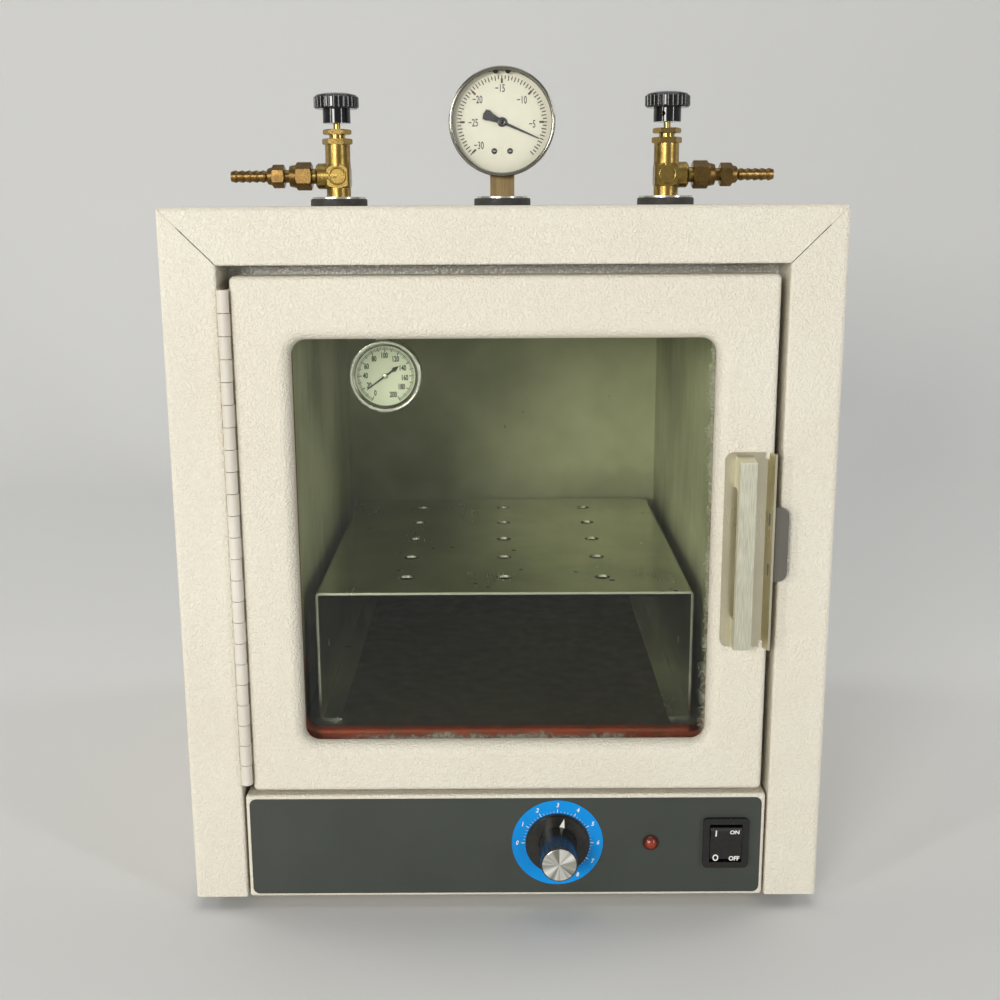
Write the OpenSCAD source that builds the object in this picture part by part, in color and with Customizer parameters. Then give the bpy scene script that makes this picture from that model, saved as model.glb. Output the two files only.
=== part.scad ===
// Benchtop vacuum oven: glazed door on a piano hinge, control panel below it,
// two needle valves and a vacuum gauge on top. Millimetres, +Z up, front to -Y.
// Every piece is drawn from the middle of the cabinet front's bottom edge, and
// in_frame() then sets the origin under the middle of the whole object.

/* [Cabinet] */
// Air gap between the insulation and each side of the cabinet
side_air = 22; // [15:0.5:40]
// Air gap between the insulation and the cabinet's top
top_air = 22.5; // [15:0.5:40]
// Air gap between the insulation and the cabinet's rear
rear_air = 31.7; // [20:0.1:60]
// Thickness of the cabinet's sheet steel
sheet = 1.2; // [0.8:0.1:1.6]
// Outside radius of the cabinet's folded edges
fold_r = 3; // [2:0.5:5]
// Width of each stile of the front frame
stile_w = 31.5; // [28:0.5:33]
// Height of the front frame's top rail
rail_h = 31.4; // [26:0.2:33]
// Width of the seam between stile and rail
mitre_gap = 0.5; // [0.3:0.1:1]
// Width of the inward flanges at the cabinet's rear and bottom
flange_w = 14; // [10:1:20]
// Thickness of the floor pan
base_t = 1.5; // [1:0.1:2.5]
// Thickness of the rear cover
cover_t = 1.2; // [0.8:0.1:2]
// Height of the feet
foot_h = 8; // [5:1:20]
// Radius of the feet
foot_r = 12; // [8:1:16]

/* [Chamber] */
// Chamber width inside
chamber_w = 247; // [200:1:300]
// Chamber height inside
chamber_h = 246; // [200:1:300]
// Chamber depth inside
chamber_l = 300; // [250:1:360]
// Height of the chamber's floor above the cabinet's bottom edge
floor_z = 99; // [96:1:102]
// Chamber wall thickness
wall = 4.8; // [3:0.2:6]
// Inside corner radius of the chamber
chamber_r = 6; // [3:1:12]
// Width of the chamber's front flange
seal_w = 14; // [12:0.5:15]
// Thickness of the chamber's front flange
seal_t = 5; // [3:0.5:8]
// Thickness of the insulation at the sides, top and rear
jacket_t = 34; // [20:1:36]
// Thickness of the heater pads
pad_t = 3; // [2:0.5:3]

/* [Door] */
// Thickness of the door's sheet steel
door_sheet = 1.5; // [1:0.1:2]
// Radius of the door's folded edges
door_r = 3; // [2.5:0.5:5]
// Gap between the door's free edge and the stile
free_gap = 4.5; // [3:0.5:6]
// Gap above the door
top_gap = 5.8; // [3:0.2:8]
// Gap between door and control panel
sill_gap = 2.9; // [2:0.1:5]
// How far each side of the window stands in from the chamber's side
window_side = 4.5; // [2:0.5:12]
// Half of what the window is lower than the chamber
window_end = 3.5; // [2:0.5:12]
// How far the window's middle lies below the chamber's
window_drop = 2.8; // [0:0.1:5]
// Corner radius of the window opening
window_r = 8.5; // [5:0.5:16]
// Radius of the rolled edge round the window
roll_r = 7; // [5:0.5:9]
// Thickness of the door glass
glass_t = 12.7; // [10:0.1:16]
// How far the glass reaches past the chamber opening on each side
glass_lap = 15.5; // [15:0.5:16]
// Thickness of the frame that holds the glass
holder_t = 1.8; // [1.2:0.1:3]
// How far the door turns
door_swing = 165; // [90:5:170]

/* [Gasket] */
// Width of the gasket's face
gasket_w = 10; // [8:0.5:12]
// Thickness of the gasket
gasket_t = 6; // [4:0.5:8]
// How far the gasket reaches over the chamber's edge
gasket_in = 2.5; // [2:0.5:4]

/* [Hinge] */
// Barrel radius of the piano hinge
barrel_r = 3.3; // [3:0.1:3.6]
// Length of one knuckle with its gap
knuckle = 12.7; // [10:0.1:13]
// Least length of door edge left free above and below the hinge
hinge_end = 4; // [2:0.5:20]
// Gap between two knuckles
knuckle_gap = 0.4; // [0.3:0.1:1]
// Radius of the hinge pin
pin_r = 1.25; // [1:0.05:1.5]
// Thickness of the hinge leaves
leaf_t = 1.2; // [0.8:0.1:1.6]
// Depth of the hinge leaves behind the barrel
leaf_d = 17; // [10:1:18]
// How far the barrel's axis stands in front of the cabinet
axis_out = 1.2; // [1:0.1:2]

/* [Handle] */
// Length of the handle's base plate
grip_plate_l = 115.2; // [100:1:130]
// Width of the handle's base plate
grip_plate_w = 25.2; // [22:0.2:30]
// Thickness of the handle's base plate
grip_plate_t = 1.2; // [0.8:0.1:2]
// Length of the plate's out-turned lip
grip_lip = 7.6; // [6:0.2:12]
// Lean of the lip away from square
grip_lean = 22; // [10:1:40]
// Width of the handle bar
bar_w = 9.7; // [8:0.1:14]
// How far the bar stands off the base plate
bar_h = 13.8; // [12:0.2:25]
// Thickness of the bar between its posts
bar_t = 5; // [4:0.2:7]
// Length of each post of the bar
post_l = 18; // [12:1:24]
// Height of the dark tab
tab_h = 43.5; // [30:0.5:60]
// How far the tab reaches past the lip
tab_out = 8.5; // [6:0.5:14]

/* [Control panel] */
// Height of the control panel
panel_h = 66.4; // [62:0.2:68]
// Gap between the panel and the stiles
panel_gap = 1.5; // [0.5:0.1:3]
// Margin round the dark overlay
overlay_margin = 2.2; // [1:0.1:4]
// Thickness of the overlay
overlay_t = 0.4; // [0.2:0.1:1]
// Height of the panel's controls above the cabinet's bottom edge
control_z = 35.3; // [33:0.5:38]
// Thermostat knob, distance from the front opening's right side
dial_in = 126.3; // [100:0.1:160]
// Outside radius of the dial ring
dial_r = 27.5; // [24:0.5:28]
// Radius of the knob's skirt
skirt_r = 19.3; // [15:0.1:21]
// Radius of the knob's barrel at its foot
knob_r = 11.7; // [9:0.1:13]
// How far the knob reaches in front of the cabinet
knob_reach = 28.5; // [22:0.5:35]
// Pilot lamp, distance from the front opening's right side
lamp_in = 70; // [55:0.5:90]
// Radius of the pilot lamp's lens
lamp_r = 4.8; // [4:0.1:7]
// Switch, distance from the front opening's right side
switch_in = 24.9; // [20:0.1:32]
// Switch bezel width
switch_w = 27.2; // [24:0.2:30]
// Switch bezel height
switch_h = 32; // [28:0.2:36]
// Rocker width
rocker_w = 18.8; // [16:0.2:21]
// Rocker height
rocker_h = 23.6; // [20:0.2:26]
// Tilt of the rocker to each side
rocker_tilt = 6; // [4:0.5:8]

/* [Ports] */
// Distance of each valve inward from the chamber's side
port_in = 14; // [8:0.5:28]
// Distance of the ports behind the cabinet front
port_y = 175; // [150:1:200]
// Radius of the pipe nipples
pipe_r = 6.75; // [6:0.05:7.5]
// Bore radius of the pipe nipples
pipe_bore = 4.4; // [3:0.1:5]
// Radius of the rubber bushings
bushing_r = 18.9; // [17:0.1:22]
// Height of the bushings above the cabinet
bushing_h = 4.7; // [3:0.1:8]
// Radius of the washers
washer_r = 17.8; // [14:0.1:22]
// Thickness of the washers
washer_t = 1.2; // [0.8:0.1:2]

/* [Valves] */
// Radius of the valve body's barrel
valve_r = 8.3; // [7.5:0.1:9.5]
// Height of the valve body
valve_h = 33.9; // [32:0.2:40]
// Height of the side port above the valve's foot
branch_h = 13.6; // [12:0.2:16]
// Radius of the valve's side port
branch_r = 8.4; // [7.5:0.1:9]
// Length of the side port from the valve's axis
branch_l = 14.4; // [12:0.2:18]
// Radius of the valve stem
stem_r = 2.3; // [2:0.1:2.8]
// Length of stem in sight below the knob
stem_sight = 3.9; // [3:0.1:8]
// Radius of the hand knob
wheel_r = 14.85; // [12:0.1:18]
// Height of the hand knob's fluted disc
wheel_h = 9.8; // [7:0.2:13]
// Radius of the hand knob's hub
hub_r = 9.1; // [7:0.1:10]
// Height of the hand knob's hub
hub_h = 9.1; // [6:0.1:12]
// Number of flutes round the hand knob
flutes = 30; // [16:1:40]
// Stem thread pitch
pitch = 1.06; // [0.8:0.01:1.5]
// Size of the union nut over its corners
union_d = 18.4; // [16:0.2:20]
// Length of the union nut's hexagon
union_hex_l = 10.5; // [8:0.1:14]
// Length of the union nut's turned collar
union_collar = 4.2; // [2:0.1:6]
// Size of the hose barb's hexagon over its corners
barb_hex = 15.4; // [13:0.2:18]
// Radius of the hose barb's ridges
barb_r = 4.15; // [3.5:0.05:5]
// Length of the hose barb's ridged part
barb_l = 23.2; // [18:0.2:32]
// Number of ridges on the hose barb
barbs = 5; // [3:1:7]

/* [Gauge] */
// Radius of the gauge's bezel
gauge_r = 34.8; // [30:0.2:38]
// Height of the gauge's middle above the cabinet
gauge_h = 53.2; // [50:0.2:60]
// Depth of the gauge's case
gauge_d = 27; // [24:0.5:34]
// Side of the gauge's square socket
socket_w = 16; // [14:0.5:20]
// Value that the gauge's pointer shows
gauge_reading = -2.4; // [-30:0.1:0]

/* [Shelf and thermometer] */
// Gap between the shelf and each side of the chamber
shelf_side = 8.3; // [4:0.1:30]
// Gap between the chamber's front edge and the shelf
shelf_front = 15.3; // [8:0.1:40]
// Gap between the shelf and the chamber's rear wall
shelf_rear = 28; // [10:1:80]
// Shelf height
shelf_h = 82.4; // [60:0.2:100]
// Shelf sheet thickness
shelf_t = 1.5; // [1:0.1:2.5]
// Width of the shelf's inward feet
shelf_foot = 13.5; // [8:0.5:25]
// Radius of the shelf's holes
shelf_hole = 5; // [3:0.5:8]
// Distance between holes across the shelf
hole_step_x = 62; // [40:1:80]
// Distance between holes along the shelf
hole_step_y = 48.4; // [30:0.2:50]
// Radius of the thermometer's case
thermo_r = 22.8; // [18:0.2:24]
// Depth of the thermometer's case
thermo_d = 9; // [7:0.5:14]
// Thermometer, distance of its middle from the chamber's left side
thermo_in = 49.9; // [40:0.1:80]
// Thermometer, distance of its middle below the chamber's roof
thermo_drop = 37.5; // [30:0.5:60]
// Distance of the thermometer's face behind the cabinet front
thermo_y = 88; // [60:1:140]
// Temperature that the thermometer's pointer shows
thermo_reading = 16; // [0:1:200]

/* [Hidden] */
$fn = 64;

// Colours as the photograph shows them
cream = "#e6e0cf";
overlay_grey = "#3e443f";
dial_blue = "#0c88de";
brass_gold = "#b08d3c";
steel_grey = "#b9bab4";
chamber_grey = "#8f9484";
knob_black = "#17181b";
gasket_red = "#a8402a";
glass_tint = "#9fb0a455";

// Clearances
fit = 0.05;     // radial play of a running fit
seat = 0.2;     // play of a fixed piece in its seat
touch = 0.3;    // gap between pieces of two bodies that nearly touch
cut = 1;        // overshoot of a cut past its face

// The chamber, what wraps it, and the cabinet round them
pad_air = 0.5;
jacket_out = pad_t + pad_air + jacket_t;
chamber_cz = floor_z + chamber_h / 2;
roof_z = floor_z + chamber_h;
cab_w = chamber_w + 2 * (wall + jacket_out + side_air + sheet);
cab_h = roof_z + wall + jacket_out + top_air + sheet;

// Front opening, panel and door
opening_w = cab_w - 2 * stile_w;
opening_top = cab_h - rail_h;
door_x0 = -opening_w / 2 + 2 * barrel_r;
door_x1 = opening_w / 2 - free_gap;
door_w = door_x1 - door_x0;
door_cx = (door_x0 + door_x1) / 2;
door_z0 = panel_h + sill_gap;
door_z1 = opening_top - top_gap;
door_h = door_z1 - door_z0;
door_cz = (door_z0 + door_z1) / 2;
window_w = chamber_w - 2 * window_side;
window_h = chamber_h - 2 * window_end;
window_cz = chamber_cz - window_drop;

// Depths behind the cabinet front, from the glass to the chamber
glass_y = roll_r;
glass_back = glass_y + glass_t;
holder_back = glass_back + holder_t;
gasket_y = glass_back + touch;
seal_y = gasket_y + gasket_t;
fascia_t = 1;
fascia_y = seal_y + seal_t;
lip_d = fascia_y + fascia_t;
chamber_y = seal_y;
chamber_back = chamber_y + chamber_l + wall;
cab_d = chamber_back + jacket_out + rear_air;

// Glass and the frame that holds it
glass_w = chamber_w + 2 * glass_lap;
glass_h = chamber_h + 2 * glass_lap;
holder_hole = gasket_w - gasket_in + 2.5;
boss_r = 3.2;
screw_r = 1.5;
boss_inset = 6.7;

// Hinge, with an odd number of knuckles
knuckles = 1 + 2 * floor((door_h - 2 * hinge_end) / (2 * knuckle));
axis_x = -opening_w / 2 + barrel_r;
axis_y = -axis_out;
hinge_l = knuckle * knuckles;
hinge_z0 = door_cz - hinge_l / 2 - 0.8;

// Handle
grip_x1 = door_x1 - 3;
grip_x0 = grip_x1 - grip_plate_w;
grip_z = door_cz - 4.35;
bar_x = grip_x0 + 10.8;
post_screw_r = 2;

// Control panel
dial_x = opening_w / 2 - dial_in;
lamp_x = opening_w / 2 - lamp_in;
switch_x = opening_w / 2 - switch_in;

// Screws and sockets at the rear, and overall reach
cover_screw_l = 8;
inlet_x = cab_w / 2 - 59;
inlet_z = 36;
inlet_ear_t = 0.6;
inlet_flange_t = 2.6;
rear_reach = cover_t + inlet_flange_t;
front_y = -(cab_d + rear_reach - knob_reach) / 2;

// Ports: heights above the cabinet's top
port_x = chamber_w / 2 - port_in;
port_xs = [-port_x, 0, port_x];
boss_top = roof_z + wall + 10;
valve_z = cab_h + bushing_h + washer_t;
bonnet_z = valve_z + valve_h;
bonnet_hex_h = 3.8;
bonnet_neck_h = 5;
packing_z = bonnet_z + bonnet_hex_h + 2.5;
packing_h = 3.4;
hub_z = packing_z + packing_h + stem_sight;
wheel_z = hub_z + hub_h;
stem_seat = valve_z + branch_h + 3;
union_x = branch_l + 3;
union_l = union_hex_l + union_collar;
barb_hex_x = union_x + union_l + 3.7;
barb_hex_l = 7.9;
barb_taper_l = 4.6;

// Gauge
gauge_z = cab_h + gauge_h;
gauge_out = 17;
gauge_front = port_y - gauge_out;
gauge_case_r = gauge_r - 1.2;
gauge_case_t = 1;
gauge_inside_r = gauge_case_r - gauge_case_t - seat;
gauge_dial_y = gauge_front + 6;
gauge_angle = 135 + gauge_reading * 9;

// Shelf
shelf_w = chamber_w - 2 * shelf_side;
shelf_y = chamber_y + shelf_front;
shelf_l = chamber_l - shelf_front - shelf_rear;

// Thermometer
thermo_x = chamber_w / 2 - thermo_in;
thermo_z = roof_z - thermo_drop;
thermo_dial_y = thermo_y + 3;
thermo_angle = -150 + thermo_reading * 1.5;

// Switch
rocker_axis_y = 3.5;

module in_frame() translate([0, front_y, foot_h]) children();

// A plate in the front plane, from depth y back to y + t
module plate(y, t) translate([0, y + t, 0]) rotate([90, 0, 0]) linear_extrude(t) children();

// A profile drawn in depth and height, run across from x for a length
module across(x, len) translate([x, 0, 0]) rotate([90, 0, 90]) linear_extrude(len) children();

// A cylinder along the depth axis, from depth y back to y + len
module barrel(r, y, len) translate([0, y + len, 0]) rotate([90, 0, 0]) cylinder(r = r, h = len);

// A revolved profile whose axis runs back from the front plane: profile x is the radius, y the depth
module turned() rotate([-90, 0, 0]) rotate_extrude() children();

module rounded_rect(w, h, r) {
    square([w - 2 * r, h], center = true);
    square([w, h - 2 * r], center = true);
    for (sx = [-1, 1], sy = [-1, 1])
        translate([sx * (w / 2 - r), sy * (h / 2 - r)]) circle(r);
}

// Rectangle from low to high whose two upper corners are round
module capped(half, low, high, r) {
    translate([-half, low]) square([2 * half, high - low - r]);
    translate([-half + r, low]) square([2 * (half - r), high - low]);
    for (s = [-1, 1]) translate([s * (half - r), high - r]) circle(r);
}

// A profile swept round a rounded rectangle in the front plane: profile x points out, y back
module around(w, h, r) rotate([-90, 0, 0]) {
    for (side = [0:3]) {
        along = side % 2 == 0 ? h : w;
        out = side % 2 == 0 ? w : h;
        rotate(90 * side) {
            translate([out / 2, 0, 0]) rotate([90, 0, 0])
                linear_extrude(along - 2 * r, center = true) children();
            translate([out / 2 - r, along / 2 - r, 0])
                rotate_extrude(angle = 90) translate([r, 0]) children();
        }
    }
}

// Section of a sheet that turns back from the face through radius r, to depth d
module fold_section(d, t, r) {
    intersection() {
        difference() {
            translate([0, r]) circle(r);
            translate([0, r]) circle(r - t);
        }
        square(r);
    }
    translate([r - t, r]) square([t, d - r]);
}

// What a fold of radius r takes off the corner at the origin, material towards +x and +y
module corner_cut(r) difference() {
    translate([-cut, -cut]) square([r + cut, r + cut]);
    translate([r, r]) circle(r);
}

// The cabinet's outside shape, taken in by inset, and run past its open sides by over
module wrap_block(inset, over) {
    r = fold_r - inset;
    half = cab_w / 2 - inset;
    top = cab_h - inset;
    deep = cab_d - inset + over;
    intersection() {
        plate(inset, deep) capped(half, -over, top, r);
        translate([0, 0, -over]) linear_extrude(top + over)
            mirror([0, 1]) capped(half, -inset - deep, -inset, r);
        across(-half, 2 * half) translate([inset, 0]) {
            translate([r, -over]) square([deep - r, top + over]);
            translate([0, -over]) square([deep, top + over - r]);
            translate([r, top - r]) circle(r);
        }
    }
}

module cabinet_wrap() in_frame() color(cream) {
    lip_r = sheet + 0.3;
    side = cab_w / 2 - sheet;
    difference() {
        union() {
            difference() {
                wrap_block(0, 0);
                wrap_block(sheet, cut);
                translate([-opening_w / 2, -cut, -cut])
                    cube([opening_w, sheet + 2 * cut, opening_top + cut]);
            }
            for (s = [-1, 1]) {
                translate([s * (opening_w / 2 + sheet / 2) - sheet / 2, 0, 0])
                    cube([sheet, lip_d, opening_top + sheet]);
                translate([s * (side - flange_w / 2) - flange_w / 2, lip_d + 2, base_t])
                    cube([flange_w, cab_d - lip_d - 2, sheet]);
                translate([s * (side - flange_w / 2) - flange_w / 2, cab_d - sheet, base_t])
                    cube([flange_w, sheet, cab_h - base_t - sheet - fold_r]);
            }
            translate([-opening_w / 2 - sheet, 0, opening_top])
                cube([opening_w + 2 * sheet, lip_d, sheet]);
            translate([-side + flange_w, cab_d - sheet, cab_h - sheet - flange_w])
                cube([2 * (side - flange_w), sheet, flange_w]);
        }
        for (s = [0, 1]) mirror([s, 0, 0]) {
            translate([-opening_w / 2, 0, -cut]) linear_extrude(opening_top + cut) mirror([1, 0]) corner_cut(lip_r);
            translate([-opening_w / 2, -cut, opening_top]) rotate([0, atan2(rail_h, stile_w), 0])
                mirror([1, 0, 0]) translate([0, 0, -mitre_gap / 2])
                    cube([0.66 * norm([stile_w, rail_h]), sheet + cut + 0.2, mitre_gap]);
        }
        across(-opening_w / 2, opening_w) translate([0, opening_top]) corner_cut(lip_r);
        for (x = port_xs) translate([x, port_y, cab_h - sheet - cut])
            cylinder(r = pipe_r + 7 + seat, h = sheet + 2 * cut);
        for (p = cover_points()) translate([p[0], 0, p[1]]) barrel(screw_r + seat, cab_d - sheet - cut, sheet + 2 * cut);
    }
}

// Screws of the rear cover, as x and z, those of the floor pan last
function cover_points() = concat(
    [for (s = [-1, 1], k = [0:2]) [s * (cab_w / 2 - sheet - flange_w / 2), 45 + k * (cab_h - 80) / 2]],
    [for (s = [-1, 1]) [s * cab_w / 5, cab_h - sheet - flange_w / 2]]);
function base_points() = [for (s = [-1, 1]) [s * cab_w / 5, base_t + flange_w / 2]];

module cabinet_base() in_frame() color(cream) {
    y0 = lip_d + touch;
    half = cab_w / 2 - sheet - seat;
    turn_half = cab_w / 2 - sheet - flange_w - 0.5;
    difference() {
        union() {
            translate([-half, y0, 0]) cube([2 * half, cab_d - sheet - seat - y0, base_t]);
            translate([-turn_half, y0, 0]) cube([2 * turn_half, base_t, flange_w + base_t]);
            translate([-turn_half, cab_d - sheet - base_t, 0]) cube([2 * turn_half, base_t + sheet, flange_w + base_t]);
        }
        for (s = [-1, 1], k = [0:9], row = [0, 1])
            translate([s * (30 + 12 * k) , 120 + 130 * row, -cut]) linear_extrude(base_t + 2 * cut) slot(5, 34);
        for (p = foot_points()) translate([p[0], p[1], -cut]) cylinder(r = 2.2, h = base_t + 2 * cut);
        for (p = base_points()) translate([p[0], 0, p[1]]) barrel(screw_r + seat, cab_d - flange_w, 2 * flange_w);
    }
}

// A slot with round ends, long side along y
module slot(w, len) {
    square([w, len - w], center = true);
    for (s = [-1, 1]) translate([0, s * (len - w) / 2]) circle(w / 2);
}

function foot_points() = [for (s = [-1, 1], y = [lip_d + 18, cab_d - 34]) [s * (cab_w / 2 - 32), y]];

module feet() in_frame() color(knob_black) for (p = foot_points()) translate([p[0], p[1], -foot_h])
    rotate_extrude() difference() {
        polygon([[0, 0], [foot_r - 2, 0], [foot_r - 1, 1], [foot_r, foot_h], [2, foot_h],
                 [2, foot_h + base_t + 1.5], [0, foot_h + base_t + 1.5]]);
        translate([0, -cut]) square([foot_r / 3, 2.5 + cut]);
    }

module rear_cover() in_frame() color(cream) {
    margin = 2;
    difference() {
        plate(cab_d, cover_t) translate([0, (cab_h + margin) / 2 - margin / 2])
            rounded_rect(cab_w - 2 * margin, cab_h - 2 * margin, 4);
        for (row = [0:2], k = [-5:5])
            translate([22 * k, cab_d + cover_t + cut, 338 - 26 * row]) rotate([90, 0, 0])
                linear_extrude(cover_t + 2 * cut) slot(5, 18);
        for (k = [-5:5])
            translate([22 * k - 40, cab_d + cover_t + cut, inlet_z]) rotate([90, 0, 0])
                linear_extrude(cover_t + 2 * cut) slot(5, 18);
        for (p = concat(cover_points(), base_points()))
            translate([p[0], 0, p[1]]) barrel(screw_r + seat, cab_d - cut, cover_t + 2 * cut);
        plate(cab_d - cut, cover_t + 2 * cut) translate([inlet_x, inlet_z]) square([27.8, 20.8], center = true);
        for (s = [-1, 1]) translate([inlet_x + 20 * s, 0, inlet_z]) barrel(screw_r + seat, cab_d - cut, cover_t + 2 * cut);
    }
}

// Pan-head screw along the depth axis, head to the rear from depth y, shank forward
module rear_screw(y, len) turned() {
    translate([0, y - len]) square([screw_r, len]);
    intersection() {
        translate([0, y]) square([2.8, 2]);
        translate([0, y - 1.6]) circle(3.6);
    }
}

module rear_screws() in_frame() color(steel_grey) {
    for (p = concat(cover_points(), base_points()))
        translate([p[0], 0, p[1]]) rear_screw(cab_d + cover_t, cover_screw_l);
    for (s = [-1, 1])
        translate([inlet_x + 20 * s, 0, inlet_z]) rear_screw(cab_d + cover_t + inlet_ear_t, cover_screw_l);
}

module power_inlet() in_frame() color(knob_black) {
    y = cab_d + cover_t;
    difference() {
        union() {
            plate(y - 24, 24) translate([inlet_x, inlet_z]) rounded_rect(27.4, 20.4, 3);
            plate(y, inlet_flange_t) translate([inlet_x, inlet_z]) rounded_rect(30.7, 24, 2);
            plate(y, inlet_ear_t) translate([inlet_x, inlet_z]) rounded_rect(50, 22, 8);
        }
        plate(y - 17, 17 + inlet_flange_t + cut) translate([inlet_x, inlet_z]) rounded_rect(24, 16.5, 2);
        for (s = [-1, 1]) translate([inlet_x + 20 * s, 0, inlet_z]) barrel(screw_r + seat, y - cut, 4);
    }
    for (p = [[-7, -1.5], [0, 3], [7, -1.5]])
        plate(y - 17, 12) translate([inlet_x + p[0], inlet_z + p[1]]) square([2, 4], center = true);
}

// The chamber's outside, grown by grow, from its sealing face to its rear wall
module chamber_block(grow, y0, y1) plate(y0, y1 - y0) translate([0, chamber_cz])
    rounded_rect(chamber_w + 2 * (wall + grow), chamber_h + 2 * (wall + grow), chamber_r + wall);

module chamber() in_frame() color(chamber_grey) difference() {
    union() {
        chamber_block(0, chamber_y, chamber_back);
        plate(chamber_y, seal_t) translate([0, chamber_cz])
            rounded_rect(chamber_w + 2 * seal_w, chamber_h + 2 * seal_w, chamber_r + seal_w);
        for (x = port_xs) translate([x, port_y, roof_z + wall / 2]) cylinder(r = 11, h = boss_top - roof_z - wall / 2);
    }
    plate(chamber_y - cut, chamber_l + cut) translate([0, chamber_cz])
        rounded_rect(chamber_w, chamber_h, chamber_r);
    for (x = port_xs) translate([x, port_y, 0]) {
        translate([0, 0, roof_z - cut]) cylinder(r = pipe_bore, h = 20);
        translate([0, 0, roof_z + wall]) cylinder(r = pipe_r + fit, h = 20);
    }
}

support_in = 30;
support_y = 26;
support_w = 18;
support_l = chamber_l - 62;
module chamber_supports() in_frame() color(steel_grey) for (s = [0, 1]) mirror([s, 0, 0])
    translate([chamber_w / 2 - support_in, lip_d + support_y, 0]) {
        t = 2;
        top = floor_z - wall;
        translate([0, 0, base_t]) cube([support_w, support_l, t]);
        translate([0, 0, top - t]) cube([support_w, support_l, t]);
        translate([0, 0, base_t]) cube([t, support_l, top - base_t]);
    }

module chamber_fascia() in_frame() color(steel_grey) difference() {
    translate([-opening_w / 2 + seat, fascia_y, panel_h + touch])
        cube([opening_w - 2 * seat, fascia_t, opening_top - seat - panel_h - touch]);
    chamber_block(touch, fascia_y - cut, fascia_y + fascia_t + cut);
}

module insulation() in_frame() color("#d9c98f") {
    air = pad_t + pad_air;
    y1 = chamber_back + air;
    low = floor_z - wall - air;
    difference() {
        translate([-chamber_w / 2 - wall - air - jacket_t, lip_d + touch, low - 22])
            cube([chamber_w + 2 * (wall + air + jacket_t), y1 + jacket_t - lip_d - touch,
                  roof_z + wall + air + jacket_t - low + 22]);
        chamber_block(air, lip_d - cut, y1);
        for (x = port_xs) translate([x, port_y, roof_z]) cylinder(r = 11.5, h = 100);
        for (s = [-1, 1])
            translate([s * (chamber_w / 2 - support_in + support_w / 2) - support_w / 2 - 2, lip_d + support_y - 2, 0])
                cube([support_w + 4, support_l + 4, floor_z]);
        translate([-5, lip_d, 0]) cube([10, 120, floor_z]);
    }
}

module heater_pads() in_frame() color("#7a6f5c") {
    y0 = lip_d + 30;
    len = chamber_l - 70;
    for (s = [0, 1]) mirror([s, 0, 0]) {
        translate([chamber_w / 2 + wall, y0, floor_z + 24]) cube([pad_t, len, chamber_h - 48]);
        translate([10, y0, floor_z - wall - pad_t]) cube([chamber_w / 2 - 44, len, pad_t]);
    }
}

module door_gasket() in_frame() color(gasket_red) translate([0, gasket_y, chamber_cz])
    around(chamber_w - 2 * gasket_in, chamber_h - 2 * gasket_in, chamber_r + 2) {
        lobe = 2.2;
        translate([0, lobe]) square([gasket_w, gasket_t - lobe]);
        translate([lobe, 0]) square([gasket_w - 2 * lobe, gasket_t]);
        for (x = [lobe, gasket_w - lobe]) translate([x, lobe]) circle(lobe);
    }

// Screws round the door's glass, as x and z
function holder_points() = concat(
    [for (s = [-1, 1], k = [-1:1]) [door_cx + s * (door_w / 2 - boss_inset), door_cz + k * (door_h / 2 - 26)]],
    [for (s = [-1, 1], k = [-1, 1]) [door_cx + k * door_w / 5, door_cz + s * (door_h / 2 - boss_inset)]]);

module door_shell() in_frame() color(cream) {
    difference() {
        union() {
            translate([door_cx, 0, door_cz]) around(door_w - 2 * door_r, door_h - 2 * door_r, 0)
                fold_section(glass_back, door_sheet, door_r);
            difference() {
                plate(0, door_sheet) translate([door_cx, door_cz])
                    square([door_w - 2 * door_r, door_h - 2 * door_r], center = true);
                plate(-cut, door_sheet + 2 * cut) translate([0, window_cz])
                    rounded_rect(window_w + 2 * roll_r, window_h + 2 * roll_r, window_r + roll_r);
            }
            translate([0, 0, window_cz]) around(window_w, window_h, window_r) intersection() {
                difference() {
                    translate([roll_r, roll_r]) circle(roll_r);
                    translate([roll_r, roll_r]) circle(roll_r - door_sheet);
                }
                square(roll_r);
            }
            for (p = holder_points()) translate([p[0], 0, p[1]])
                barrel(boss_r, door_sheet / 2, glass_back - door_sheet / 2);
        }
        for (p = holder_points()) translate([p[0], 0, p[1]]) barrel(screw_r + fit, glass_back - 12, 12 + cut);
        for (p = post_points()) translate([p[0], 0, p[1]]) barrel(post_screw_r + fit, -cut, door_sheet + 2 * cut);
    }
}

module door_glass() in_frame() color(glass_tint) plate(glass_y, glass_t)
    translate([0, chamber_cz]) rounded_rect(glass_w, glass_h, 8);

module glass_holder() in_frame() color(steel_grey) difference() {
    plate(glass_back, holder_t) translate([door_cx, door_cz]) rounded_rect(door_w - 1.6, door_h - 1.6, 3);
    plate(glass_back - cut, holder_t + 2 * cut) translate([0, chamber_cz])
        rounded_rect(chamber_w + 2 * holder_hole, chamber_h + 2 * holder_hole, 12);
    for (p = holder_points()) translate([p[0], 0, p[1]]) barrel(screw_r + seat, glass_back - cut, holder_t + 2 * cut);
}

module holder_screws() in_frame() color(steel_grey)
    for (p = holder_points()) translate([p[0], 0, p[1]]) rear_screw(holder_back, 11);

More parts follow.
